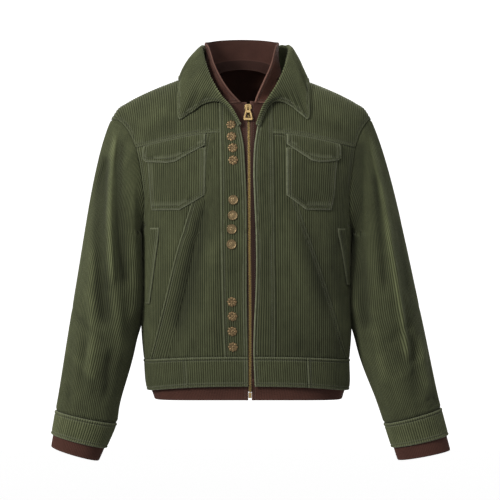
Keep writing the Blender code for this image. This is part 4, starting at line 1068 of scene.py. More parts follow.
    def note_seams(self, skin: Array, out: Array, away: list[Array], edges: Edges, fades: Sequence) -> None:
        """Finds the topstitch lines and keeps them for the sewing.

        Args:
            skin: The outer face.
            out: The normals there.
            away: The distances from the four edges.
            edges: Their finishes.
            fades: How much of each finish there is.
        """
        for k, finish in enumerate(edges):
            others = [away[j] for j in range(4) if j != k and edges[j] is not Finish.JOINED]
            clear = np.min(others, axis=0) if others else np.full(away[k].shape, FAR)
            clear = np.where(np.broadcast_to(fades[k], clear.shape) > 0.5, clear, 0.0)
            grids = [away[k], clear, *np.moveaxis(skin, 2, 0), *np.moveaxis(out, 2, 0)]
            grids = [g.T for g in grids] if k > 1 else grids
            for stitch in finish.value.stitches:
                line = []
                for run, *rest in zip(*(g.T for g in grids)):
                    order = slice(None) if run[-1] > run[0] else slice(None, None, -1)
                    if run.max() < stitch + 1:
                        continue
                    values = [np.interp(stitch, run[order], column[order]) for column in rest]
                    if values[0] > STITCH_CLEAR:
                        line.append(values[1:])
                if len(line) > 4:
                    line = np.array(line)
                    padded = np.vstack([line[:1]] * 3 + [line] + [line[-1:]] * 3)
                    line[3:-3] = (np.cumsum(padded, axis=0)[6:] - np.cumsum(padded, axis=0)[:-6])[3:-3] / 6
                    self.seams.append((line[:, :3], unit(line[:, 3:])))

    def build(self, material: bpy.types.Material) -> bpy.types.Object:
        """Makes the piece's object.

        Args:
            material: Its finish.

        Returns:
            The object.
        """
        obj = place(self.name, np.concatenate(self.points) * MM, self.faces, material)
        made = bmesh.new()
        made.from_mesh(obj.data)
        if made.calc_volume(signed=True) < 0:
            bmesh.ops.reverse_faces(made, faces=made.faces)
        made.faces.ensure_lookup_table()
        rims = set(self.rims)
        for i in self.rims:
            for edge in made.faces[i].edges:
                edge.smooth = all(face.index in rims for face in edge.link_faces)
        made.to_mesh(obj.data)
        made.free()
        obj.data.shade_smooth()
        for name in MARKS:
            mark = obj.data.attributes.new(name, "FLOAT", "POINT")
            mark.data.foreach_set("value", np.concatenate(self.marks[name]))
        grain = obj.data.attributes.new("grain", "FLOAT_VECTOR", "POINT")
        grain.data.foreach_set("vector", (np.concatenate(self.marks["grain"]) * MM).ravel())
        return obj


# ---------------------------------------------------------------- pieces of the trunk

Bound = Callable[[Array], Array]


def level_bound(level: float) -> Bound:
    """A bound that is the same level on every lane."""
    return lambda lane: np.full(np.shape(lane), level)


def faded(start: float, reach: float = 6.0) -> Callable[[Array], Sequence[Array | float]]:
    """Fades: a far edge's finish that comes in above a level, and all of the others."""
    return lambda level: (1.0, 1.0, 1.0, eased((level - start) / reach))


PIECE_PAINTED_SHADE = {  # painted shade: how much darker whole pieces are painted, standing in for the light's fall across the front
    "placket_left": -0.32, "centre_front_left": -0.32, "chest_pocket_left": -0.36, "pocket_flap_left": -0.28,
    "yoke_right": -0.2, "pocket_flap_right": -0.26, "chest_pocket_right": -0.12, "placket_right": -0.1,
    "centre_front_right": -0.16,
}


MID_CHEST = 60.0  # a level from which the upper edges are looked for
DENT_SHADE, DARKEST = -4.5, -0.9  # the fold depth in millimetres that paints one step of tone (troughs painted darker as shade, ridges lighter), and the darkest painted shade


@dataclass(frozen=True)
class Tailor:
    """Lays pieces of cloth on the trunk, cut by lane and level."""

    trunk: TrunkForm
    cut: Cut
    warp: float = 34.0

    def lay(self, cloth: Cloth, side: Side, wale: Array, lane_of: Bound, low: Bound, high: Bound, edges: Edges,
            front: bool = True, stand: Callable[[Array], Array] | float = 0.0,
            fade: Callable[[Array], Sequence] | None = None) -> None:
        """Lays one stretch.

        Args:
            cloth: The piece.
            side: Which half of the trunk.
            wale: The columns' places in wales.
            lane_of: The columns' lanes at given levels.
            low: The level of its lower edge by lane.
            high: The level of its upper edge by lane.
            edges: The finishes.
            front: Whether it lies on the front.
            stand: How far it stands off the trunk, or that by share of its height.
            fade: How much of each edge's finish there is, by level, or None for all of it.
        """
        ends = []
        for bound, start in ((low, WAIST), (high, MID_CHEST)):
            level = np.full(len(wale), start)
            for _ in range(7):
                level = bound(lane_of(level))
            ends.append(level)
        dense = (1 - np.cos(np.linspace(0, math.pi, 97)))[:, None] / 2
        levels = ends[0] + dense * (ends[1] - ends[0])
        run = run_length(self.trunk.point(self.turn(side, lane_of(levels), levels, front), levels), 0)
        shares = spread(float(np.percentile(run[-1], 90)), cloth.weave.step,
                        edges.low is not Finish.JOINED, edges.high is not Finish.JOINED)
        columns = [np.interp(shares * run[-1, c], run[:, c], levels[:, c]) for c in range(len(wale))]
        levels = np.stack(columns, axis=1)
        turn = self.turn(side, lane_of(levels), levels, front)
        points, out = self.trunk.point(turn, levels), self.trunk.normal(turn, levels)
        off = stand(shares)[:, None, None] if callable(stand) else stand
        lanes = side.value * lane_of(levels)
        corner = (float(lanes.min()), float(lanes.max()), float(levels.min()))
        # painted light and shade: fold troughs darker, fold ridges lighter, plus the painted tone set for each
        # piece
        tone = np.clip(pressed(points[..., 0], points[..., 2], DENTS[front]) / DENT_SHADE, DARKEST, 1.0)
        tone = tone + (cloth.shade(points) if cloth.shade else PIECE_PAINTED_SHADE.get(cloth.name, 0.0))
        fades = fade(levels) if fade else WHOLE
        cloth.lay(points + out * off, out, wale, edges, fades=fades, corner=corner, tone=tone)

    def turn(self, side: Side, lane: Array, level: Array, front: bool) -> Array:
        """The angle round the trunk of a lane at a level."""
        return self.trunk.turn(side.value * self.trunk.share(lane, level, front), front)

    def panel(self, cloth: Cloth, side: Side, first: float, last: float, low: Bound, high: Bound, edges: Edges,
              near: Line | None = None, far: Bound | None = None, **rest) -> None:
        """Lays a panel of straight lanes, bent only beside the edges that it is sewn along.

        Args:
            cloth: The piece.
            side: Which half.
            first: Its nearest lane.
            last: Its furthest lane.
            low: Its lower edge.
            high: Its upper edge.
            edges: The finishes.
            near: The line of its near edge, if that isn't a lane.
            far: The lane of its far edge by level, if that isn't constant.
            rest: What else lay() takes.
        """
        wale = cloth.weave.columns(last - first)
        lanes = first + wale * cloth.weave.pitch
        by_near, by_far = eased(1 - (lanes - first) / self.warp), eased(1 - (last - lanes) / self.warp)

        def lane_of(level: Array) -> Array:
            """Bends the columns' lanes beside the two edges.

            Args:
                level: The levels.

            Returns:
                The lanes.
            """
            moved = lanes + np.zeros(np.shape(level))
            if near is not None:
                moved = moved + by_near * (near.lane(level) - first)
            if far is not None:
                moved = moved + by_far * (far(level) - last)
            return moved

        self.lay(cloth, side, wale, lane_of, low, high, edges, **rest)

    def between(self, cloth: Cloth, side: Side, near: Line, far: Line, low: Bound, high: Bound, edges: Edges,
                **rest) -> None:
        """Lays a band whose wales run along both its sides.

        Args:
            cloth: The piece.
            side: Which half.
            near: Its near side.
            far: Its far side.
            low: Its lower edge.
            high: Its upper edge.
            edges: The finishes.
            rest: What else lay() takes.
        """
        bottom, top = max(near.levels.min(), far.levels.min()), min(near.levels.max(), far.levels.max())
        level = np.linspace(bottom, top, 9)
        wale = cloth.weave.columns(float(np.mean(far.lane(level) - near.lane(level))))
        share = wale / wale[-1]

        def lane_of(level: Array) -> Array:
            """The columns' lanes, spread evenly."""
            return near.lane(level) * (1 - share) + far.lane(level) * share

        self.lay(cloth, side, wale, lane_of, low, high, edges, **rest)

    def band(self, cloth: Cloth, first: Bound, last: Bound, low: float, high: float, edges: Edges,
             inset: Bound) -> None:
        """Lays a band round the trunk between two angles.

        Args:
            cloth: The piece.
            first: The angle where it starts, by level.
            last: The angle where it ends.
            low: The level of its lower edge.
            high: The level of its upper edge.
            edges: The finishes.
            inset: How far it lies inside the trunk's form, by level.
        """
        middle = np.array((low + high) / 2)
        dense = np.linspace(0, 1, 1200)
        turn = first(middle) + (last(middle) - first(middle)) * dense
        run = run_length(self.trunk.point(turn, middle)[None], 1)[0]
        wale = cloth.weave.columns(run[-1])
        place = np.interp(wale / wale[-1] * run[-1], run, dense)
        shares = spread(high - low, cloth.weave.step)
        levels = (low + (high - low) * shares)[:, None]
        turns = first(levels) + (last(levels) - first(levels)) * place
        levels = np.broadcast_to(levels, turns.shape)
        points, out = self.trunk.point(turns, levels), self.trunk.normal(turns, levels)
        cloth.lay(points - out * inset(levels)[..., None], out, wale, edges)


# Heights and the near and far edge of the chest pockets, then their lower edge from near to far.
POCKET_SIDES = {
    Side.RIGHT: ((-131, -79.5, -185.5), (-155, -79.5, -184.5), (-185, -80, -182), (-216, -80.5, -180),
                 (-243, -81, -177)),
    Side.LEFT: ((-131, 65, 159), (-155, 65, 157), (-185, 65, 154), (-216, 65, 152), (-243, 65, 146)),
}
POCKET_FOOT = {
    Side.RIGHT: ((-78, -215), (-80.5, -216), (-103, -230), (-126, -243), (-180, -243)),
    Side.LEFT: ((62, -214), (65, -216), (84, -230), (101, -243), (149, -243)),
}
FLAP_FOOT = {  # x and height of the flaps' lower edges, from the far end
    Side.RIGHT: ((-192, -150), (-187, -155.5), (-165, -157.5), (-147, -158.5), (-133, -156), (-106, -141),
                 (-80, -127)),
    Side.LEFT: ((162.5, -149), (158, -153.5), (140, -156.5), (125, -157.5), (111, -155), (88, -140),
                (65.5, -125)),
}
WELTS = {  # height, near edge, width
    Side.RIGHT: ((-276, -163, 17), (-322, -168, 15), (-368, -174, 12), (-412, -180.5, 8)),
    Side.LEFT: ((-276, 157, 15), (-310, 163, 13), (-345, 169, 10), (-378, 174, 7)),
}
ZIP_LINE = Curve([-600, -400, -314, -200, -45], [0, 0, -0.9, -1.4, -3])
ZIP_HALF = 2.8
# How far the pieces that lie over others stand off the form.
PLACKET_STAND, YOKE_STAND, POCKET_STAND, FLAP_STAND, WELT_STAND, INNER_STAND = 0.5, 0.35, 2.4, 4.8, 2.6, -3.2
WAISTBAND_SEAM, BAND_STAND = 108.0, 0.45
CLOSE = 0.02  # how near to a seam of the form a piece goes
YOKE_ROWS = 8  # the armhole's rows down to the yoke seam
UNDER_WAIST = level_bound(WAIST - LAP)
HEM_INSET = Curve([-302, -285, -263], [0.5, 5.0, 4.0])


@dataclass(frozen=True)
class Shell:
    """The corduroy pieces of the trunk."""

    tailor: Tailor
    cut: Cut
    pocket_wall: float = 1.1
    flap_wall: float = 1.2

    @staticmethod
    def piece(name: str, side: Side | None = None, wall: float = CORDUROY_WALL) -> Cloth:
        """Starts a piece of corduroy, named after its side if it has one."""
        return Cloth(f"{name}_{side.label}" if side else name, CORDUROY, wall)

    def placket(self, side: Side) -> Cloth:
        """Lays the front band, from the waist seam to the neck.

        Args:
            side: Which half.

        Returns:
            The piece.
        """
        cloth = self.piece("placket", side)
        self.tailor.between(
            cloth, side, self.cut.front_edge(side), self.cut.seam(side, PLACKET_SEAM, -GAP / 2), UNDER_WAIST,
            self.cut.neck(side, True).level, Edges(Finish.SUNK, Finish.SEWN, Finish.FOLDED, Finish.LAPPED),
            stand=PLACKET_STAND,
        )
        return cloth

    def centre_front(self, side: Side) -> Cloth:
        """Lays the wedge between the placket seam and the slanted seam.

        On the right its wales turn at a valley, and run on along the slanted seam.

        Args:
            side: Which half.

        Returns:
            The piece.
        """
        cloth = self.piece("centre_front", side)
        near = self.cut.seam(side, PLACKET_SEAM, -LAP)
        slanted = self.cut.seam(side, SLANTED_SEAM, -GAP / 2)
        yoke, stop, high = self.cut.yoke(side, LAP), slanted, Finish.LAPPED
        if side is Side.RIGHT:
            z, x = np.array(VALLEY, float).T
            stop, high = self.cut.front_line(side, x, z), Finish.JOINED
        self.tailor.panel(
            cloth, side, float(near.lane(-100.0)), float(stop.lane(WAIST)), UNDER_WAIST,
            lambda lane: np.minimum(yoke.level(lane), stop.level(lane)),
            Edges(Finish.SUNK, high, Finish.SUNK, Finish.JOINED), near=near,
        )
        if side is Side.RIGHT:
            edges = Edges(Finish.SUNK, Finish.SUNK, Finish.JOINED, Finish.LAPPED)
            self.tailor.between(cloth, side, stop, slanted, UNDER_WAIST, yoke.level, edges)
        return cloth

    def side_front(self, side: Side) -> Cloth:
        """Lays the side panel, from the slanted seam to the side seam and the armhole.

        Args:
            side: Which half.

        Returns:
            The piece.
        """
        cloth = self.piece("side_front", side)
        slanted = self.cut.seam(side, SLANTED_SEAM, -LAP)
        yoke, arm = self.cut.yoke(side, LAP), self.cut.armhole(side, True)
        narrow, narrow_level = self.narrowest(arm)
        waist = WAIST - LAP
        self.tailor.panel(
            cloth, side, float(slanted.lane(yoke.level(70.0))), narrow,
            lambda lane: np.maximum(waist, np.where(lane < slanted.lane(waist), slanted.level(lane), waist)),
            yoke.level, Edges(Finish.SUNK, Finish.SUNK, Finish.JOINED, Finish.LAPPED),
            far=lambda level: np.where(level > narrow_level, arm.lane(level), narrow), fade=faded(narrow_level),
        )
        self.under_arm(cloth, side, arm, True)
        return cloth

    @staticmethod
    def narrowest(arm: Line) -> tuple[float, float]:
        """The armhole's smallest lane, and its level there."""
        k = int(np.argmin(arm.lanes))
        return float(arm.lanes[k]), float(arm.levels[k])

    @staticmethod
    def widest(arm: Line) -> tuple[Line, Bound, float, float]:
        """Splits the armhole's upper stretch where it stands furthest out.

        Args:
            arm: The stretch, from the shoulder point down.

        Returns:
            The lower part, the upper part's lane by level, and the lane and level where they meet.
        """
        k = int(np.argmax(arm.lanes))
        lanes, levels = arm.lanes[k::-1], arm.levels[k::-1]
        return Line(arm.lanes[k:], arm.levels[k:]), lambda at: np.interp(at, levels, lanes), lanes[0], levels[0]

    def under_arm(self, cloth: Cloth, side: Side, arm: Line, front: bool) -> None:
        """Adds the stretch between the armhole's narrowest place and the side seam.

        Args:
            cloth: The piece.
            side: Which half.
            arm: The armhole.
            front: Whether on the front.
        """
        narrow, level = self.narrowest(arm)
        low = arm.levels <= level + 1e-6
        seam = self.cut.side_seam(front)
        arm = Line(arm.lanes[low], arm.levels[low])
        self.tailor.panel(
            cloth, side, narrow, float(seam.lane(0.0)), UNDER_WAIST, arm.level,
            Edges(Finish.SUNK, Finish.LAPPED, Finish.JOINED, Finish.SEWN), far=lambda at: seam.lane(at) - CLOSE,
            front=front,
        )

    def yoke(self, side: Side) -> Cloth:
        """Lays the front yoke, from the yoke seam up to the shoulder seam.

        Args:
            side: Which half.

        Returns:
            The piece.
        """
        cloth = self.piece("yoke", side)
        yoke, arm = self.cut.yoke(side, GAP / 2), self.cut.armhole(side, True, 0, YOKE_ROWS)
        near, neck = self.cut.seam(side, PLACKET_SEAM, -LAP), self.cut.neck(side, True)
        turn_off, top = float(arm.lanes.min()), float(neck.lanes.max())
        low, far, last, level = self.widest(arm)
        self.tailor.panel(
            cloth, side, float(near.lane(140.0)), last,
            lambda lane: np.where(lane < turn_off, yoke.level(lane), low.level(lane)),
            lambda lane: np.where(lane < top, neck.level(lane), self.tailor.trunk.arch - CLOSE),
            Edges(Finish.LAPPED, Finish.SEWN, Finish.SUNK, Finish.LAPPED), near=near, far=far, stand=YOKE_STAND,
            fade=faded(level),
        )
        return cloth

    def back(self) -> Cloth:
        """Lays the one-piece back: its middle, and on each side a stretch over and one under the armhole.

        Returns:
            The piece.
        """
        cloth = self.piece("back")
        arms = {side: self.cut.armhole(side, False) for side in Side}
        upper = {side: self.cut.armhole(side, False, 0, YOKE_ROWS) for side in Side}
        necks = {side: self.cut.neck(side, False) for side in Side}
        ends = {side: self.narrowest(arms[side]) for side in Side}
        top_seam = self.tailor.trunk.arch - CLOSE
        first, last = -ends[Side.RIGHT][0], ends[Side.LEFT][0]

        def top(lane: Array) -> Array:
            """Finds the upper edge: the neck seam, and the shoulder seam beside it.

            Args:
                lane: The lanes.

            Returns:
                The levels.
            """
            high = np.full(np.shape(lane), top_seam)
            for side in Side:
                here = (side.value * lane >= 0) & (side.value * lane < necks[side].lanes.max())
                high = np.where(here, necks[side].level(side.value * lane), high)
            return high

        def edge(side: Side, level: Array) -> Array:
            """The middle's lane beside the armhole."""
            narrow, start = ends[side]
            return np.where(level > start, arms[side].lane(np.minimum(level, upper[side].levels.min())), narrow)

        def fade(level: Array) -> Sequence[Array | float]:
            """The armholes' finish: only between the narrowest place and the stretches over it."""
            seam = faded(ends[Side.LEFT][1])(level)[3] * (level < upper[Side.LEFT].levels.min())
            return (1.0, 1.0, seam, seam)

        wale = cloth.weave.columns(last - first)
        lanes = first + wale * cloth.weave.pitch
        by_near, by_far = (eased(1 - np.abs(lanes - end) / self.tailor.warp) for end in (first, last))

        def lane_of(level: Array) -> Array:
            """The columns' lanes, bent beside the armholes."""
            moved = lanes + by_near * (-edge(Side.RIGHT, level) - first)
            return moved + by_far * (edge(Side.LEFT, level) - last)

        edges = Edges(Finish.SUNK, Finish.SEWN, Finish.LAPPED, Finish.LAPPED)
        self.tailor.lay(cloth, Side.LEFT, wale, lane_of, UNDER_WAIST, top, edges, front=False, fade=fade)
        for side in Side:
            start = float(arms[side].lane(upper[side].levels.min()))
            low, far, furthest, level = self.widest(upper[side])
            self.tailor.panel(
                cloth, side, start, furthest, low.level, level_bound(top_seam),
                Edges(Finish.LAPPED, Finish.SEWN, Finish.JOINED, Finish.LAPPED), far=far, front=False,
                fade=faded(level),
            )
            self.under_arm(cloth, side, arms[side], False)
        return cloth

    def chest_pocket(self, side: Side) -> Cloth:
        """Lays a patch pocket with a slanted lower corner.

        Args:
            side: Which half.

        Returns:
            The piece.
        """
        cloth = self.piece("chest_pocket", side, self.pocket_wall)
        z, near, far = np.array(POCKET_SIDES[side], float).T
        foot_x, foot_z = np.array(POCKET_FOOT[side], float).T
        near, far, foot, mouth = (self.cut.front_line(side, x, height) for x, height in (
            (near, z), (far, z), (foot_x, foot_z), (foot_x, np.full(len(foot_x), z[0]))))
        edges = Edges(Finish.DOUBLE, Finish.PLAIN_FOLD, Finish.DOUBLE, Finish.DOUBLE)
        self.tailor.between(cloth, side, near, far, foot.level, mouth.level, edges, stand=POCKET_STAND)
        return cloth

    def pocket_flap(self, side: Side) -> Cloth:
        """Lays the flap that hangs from the yoke seam.

        Args:
            side: Which half.

        Returns:
            The piece.
        """
        cloth = self.piece("pocket_flap", side, self.flap_wall)
        x, z = np.array(FLAP_FOOT[side], float).T
        order, xs, around = np.argsort(x), np.linspace(x[0], x[-1], 60), np.array([-170.0, -100.0])
        low = self.cut.front_line(side, xs, np.interp(xs, x[order], z[order]))
        near, far = (self.cut.front_line(side, np.full(2, at), around) for at in (x[-1], x[0]))
        self.tailor.between(
            cloth, side, near, far, low.level, self.cut.yoke(side, -2 * GAP).level,
            Edges(Finish.DOUBLE, Finish.SEWN, Finish.DOUBLE, Finish.DOUBLE),
            stand=lambda share: FLAP_STAND - 2.2 * eased((share - 0.7) / 0.3),
        )
        return cloth

    def welt(self, side: Side) -> Cloth:
        """Lays the slanted welt of a hand pocket.

        Args:
            side: Which half.

        Returns:
            The piece.
        """
        cloth = self.piece("welt", side, self.flap_wall)
        z, x, width = np.array(WELTS[side][::-1], float).T
        near, far = self.cut.front_line(side, x, z), self.cut.front_line(side, x + side.value * width, z)
        ends = [self.cut.front_line(side, np.array([-230.0, 0, 230]), np.full(3, h)) for h in (z[0], z[-1])]
        low, high = (level_bound(float(np.interp(170, e.lanes, e.levels))) for e in ends)
        edges = Edges(Finish.PLAIN_FOLD, Finish.PLAIN_FOLD, Finish.LAPPED, Finish.SEWN)
        self.tailor.between(cloth, side, near, far, low, high, edges, stand=WELT_STAND)
        return cloth

    def waistband(self) -> list[Cloth]:
        """Lays the hem band.

        Returns:
            Its right, left and back piece.
        """
        made, trunk, high = [], self.tailor.trunk, WAIST - GAP / 2
        z = np.linspace(-563, -505, 20)
        for side in Side:
            made.append(self.piece("waistband", side))
            x = trunk.at("centre", z - trunk.underarm) + side.value * (WAISTBAND_SEAM + LAP)
            self.tailor.between(
                made[-1], side, self.cut.front_edge(side), self.cut.front_line(side, x, z), level_bound(HEM),
                level_bound(high), Edges(Finish.FOLDED, Finish.LAPPED, Finish.FOLDED, Finish.SUNK),
                stand=BAND_STAND,
            )

        def start(level: Array) -> Array:
            """The angle of the seam beside the back piece."""
            return trunk.turn((WAISTBAND_SEAM + GAP / 2) / trunk.at("half", level))

        made.append(self.piece("waistband_back"))
        self.tailor.band(made[-1], start, lambda level: 2 * math.pi - start(level), HEM, high,
                         Edges(Finish.FOLDED, Finish.LAPPED, Finish.LAPPED, Finish.LAPPED),
                         inset=lambda level: np.full(level.shape, -BAND_STAND))
        return made


@dataclass(frozen=True)
class InnerLayer:
    """The brown pieces behind the front, under the hem and inside the neck."""

    tailor: Tailor
    cut: Cut
    strip: float = 38.0
    top: float = -46.0
    foot: float = -545.7
    facing: tuple[float, float] = (-60.0, 78.0)
    facing_foot: float = 112.0
    hem: tuple[float, float] = (-302.0, -263.0)

    def inner_front(self, side: Side) -> Cloth:
        """Lays the strip beside the zip.

        Args:
            side: Which half.

        Returns:
            The piece.
        """
        cloth = Cloth(f"inner_front_{side.label}", BRUSHED, BROWN_WALL)
        # painted shade: the strip is painted darker towards the bottom, for the shade inside the fronts
        cloth.shade = lambda points: -1.1 * eased((-70.0 - points[..., 2]) / 90.0)
        z = np.linspace(self.foot - 3, self.top + 3, 60)
        near, far = (self.cut.front_line(side, ZIP_LINE(z) + side.value * away, z)
                     for away in (ZIP_HALF + GAP, self.strip))
        spot = self.tailor.trunk.spot
        low, high = (level_bound(float(spot(side.value * 20 - 2.0, h)[1])) for h in (self.foot, self.top))
        edges = Edges(Finish.PLAIN_FOLD, Finish.PLAIN_FOLD, Finish.FOLDED, Finish.PLAIN_FOLD)
        self.tailor.between(cloth, side, near, far, low, high, edges, stand=INNER_STAND)
        return cloth

    def hem_rib(self) -> Cloth:
        """Lays the band under the waistband, open at the zip.

        Returns:
            The piece.
        """
        cloth = Cloth("hem_rib", RIB, BROWN_WALL)
        trunk, away = self.tailor.trunk, ZIP_HALF + GAP

        def angle(level: Array, shift: float) -> Array:
            """The angle of a place beside the zip."""
            across = ZIP_LINE(trunk.underarm + level) + shift - trunk.at("centre", level)
            return trunk.turn(across / trunk.at("half", level))

        self.tailor.band(
            cloth, lambda level: angle(level, away), lambda level: 2 * math.pi + angle(level, -away), *self.hem,
            Edges(Finish.PLAIN_FOLD, Finish.PLAIN_FOLD, Finish.FOLDED, Finish.FOLDED),
            inset=lambda level: HEM_INSET(level) + 0.2,
        )
        return cloth

    def neck_facing(self) -> Cloth:
        """Lays the piece that shows through the open neck, inside the back.

        Returns:
            The piece.
        """
        cloth = Cloth("neck_facing", BRUSHED, BROWN_WALL)
        # painted light: the facing is painted lighter, most near the top, for light that hardly reaches inside
        # the neck
        cloth.shade = lambda points: 2.2 + 1.6 * eased((points[..., 2] + 60) / 90)
        right, left = (self.cut.neck(side, False) for side in Side)
        wale = cloth.weave.columns(self.facing[1] - self.facing[0])
        lanes = self.facing[0] + wale * cloth.weave.pitch

        def top(lane: Array) -> Array:
            """The neck seam's level."""
            return np.where(lane >= 0, left.level(np.maximum(lane, 0)), right.level(np.maximum(-lane, 0)))

        self.tailor.lay(
            cloth, Side.LEFT, wale, lambda level: lanes + np.zeros(np.shape(level)),
            level_bound(self.facing_foot), top, ALL_FOLDED, front=False, stand=INNER_STAND,
        )
        return cloth


# ---------------------------------------------------------------- sleeves


class Ring(NamedTuple):
    """A ring of a sleeve: its outer and inner point in the front view, its middle's depth, its half depth."""

    outer_x: float
    outer_z: float
    inner_x: float
    inner_z: float
    depth: float
    half_depth: float


class SleeveFold(NamedTuple):
    """A trough along a sleeve from one angle and step to another: its half width in degrees, its depth."""

    angle0: float
    step0: float
    angle1: float
    step1: float
    width: float
    depth: float
    steep: float = 10.0

    def press(self, step: Array, turn: Array) -> Array:
        """Measures how far the fold pushes the cloth in.

        Args:
            step: Steps below the sleeve's head.
            turn: Angles round the sleeve, in degrees.

        Returns:
            The depth at each, in millimetres.
        """
        share = (step - self.step0) / (self.step1 - self.step0)
        near = self.angle0 + (self.angle1 - self.angle0) * np.clip(share, 0, 1)
        return self.depth * window(share, self.steep) * bell((turn - near + 180) % 360 - 180, self.width)


RINGS = {side: tuple(Ring(*row) for row in rows) for side, rows in {  # from step 1, a step apart
    Side.RIGHT: (
        (317, -359, 204, -386, -8, 78), (333, -462, 211.5, -491, -18, 69),
        (348, -564, 237.5, -590, -32, 54), (355, -607, 244.5, -631, -38, 47),
        (362, -650, 263, -676, -44, 41),
    ),
    Side.LEFT: (
        (299, -359, 191, -385, -8, 78), (320, -462, 197, -491, -18, 69), (340, -564, 232, -590, -32, 54),
        (349, -603, 245.5, -631, -38, 47), (361.5, -652, 259.5, -675, -44, 41),
    ),
}.items()}
SLEEVE_FOLDS = tuple(SleeveFold(*row) for row in (
    (20, 1.6, 95, 2.0, 16, 3.0), (30, 2.3, 110, 2.7, 14, -2.5), (300, 0.20, 292, 2.0, 13, 4.0),
    (340, 1.7, 262, 2.0, 15, 3.5), (250, 2.4, 320, 2.9, 14, -2.5),
))
SLEEVE_CREASES = {side: tuple(SleeveFold(*row) for row in rows) for side, rows in {
    Side.RIGHT: (
        (50, 1.2, 92, 1.75, 8, -1.6), (84, 2.0, 66, 3.3, 9, -1.8), (40, 2.2, 56, 3.4, 9, 1.8),
        (112, 2.2, 96, 3.1, 9, 1.6), (20, 3.1, 60, 3.5, 12, 1.5), (72, 3.4, 112, 3.75, 11, 1.4),
        (255, 0.4, 248, 1.5, 9, 2.0), (318, 0.5, 322, 1.7, 9, -1.6), (300, 2.3, 282, 3.4, 9, 1.8),
        (330, 3.0, 290, 3.5, 11, 1.5),
    ),
    Side.LEFT: (
        (30, 1.3, 70, 1.8, 9, 1.6), (50, 2.0, 62, 3.2, 9, -1.7), (86, 2.1, 78, 3.3, 9, 1.7),
        (24, 2.3, 36, 3.3, 10, 1.4), (40, 3.2, 84, 3.6, 11, 1.6), (18, 3.5, 50, 3.8, 9, 1.4),
        (262, 0.4, 252, 1.6, 9, 2.0), (312, 0.4, 318, 1.8, 9, -1.6), (286, 2.2, 296, 3.3, 9, 1.8),
        (248, 2.9, 300, 3.5, 11, 1.5),
    ),
}.items()}
SLEEVE_DRAPE = {side: tuple(Crease(*row) for row in rows) for side, rows in {  # along lines in the front view
    Side.RIGHT: (
        (((-246, -89), (-249, -114), (-253, -151), (-255, -205), (-255, -251), (-251, -333),
         (-247, -387)), 5.5, -7.2, 30),
        (((-247, -369), (-240, -424), (-235, -478), (-233, -524)), 10, -4, 30),
        (((-264, -133), (-270, -196), (-274, -278), (-268, -387), (-260, -460)), 13, 9.5, 30),
        (((-236, -100), (-238, -160), (-238, -224), (-233, -305), (-224, -387)), 8, 7.2, 30),
        (((-213, -169), (-213, -260), (-211, -369), (-216, -460)), 8, -3.2, 30),
        (((-286, -296), (-287, -387), (-284, -478), (-287, -560)), 8, -3.5, 30),
        (((-251, -487), (-258, -542), (-267, -596)), 9, 4.8, 30),
        (((-298, -460), (-302, -524), (-309, -587)), 9, 3.8, 30),
    ),
    Side.LEFT: (
        (((216, -93), (224, -124), (233, -160), (244, -224), (249, -260), (256, -318), (262, -351),
         (267, -396), (275, -442), (280, -487), (286, -524)), 5.5, -7.2, 30),
        (((200, -105), (196, -187), (198, -296), (204, -387), (215, -469)), 11, 8.8, 30),
        (((226, -169), (233, -242), (238, -314), (246, -396)), 8, 4.8, 30),
        (((269, -251), (280, -333), (289, -405)), 8, 4.8, 30),
        (((216, -405), (231, -487), (247, -569)), 10, -3.8, 30),
        (((306, -460), (316, -524), (327, -587)), 8, -3.2, 30),
        (((295, -460), (298, -533), (307, -591)), 9, 4.2, 30),
        (((331, -573), (335, -584), (340, -596)), 4, 3.2, 8),
    ),
}.items()}
WALE_START = Curve([0, 45, 90, 120, 145, 162, 180], [0, 20, 44, 68, 96, 128, 180])
CUFF_STEP, CUFF_END = 4.0, 5.0
CUFF_INSET = CORDUROY_WALL + 1.3


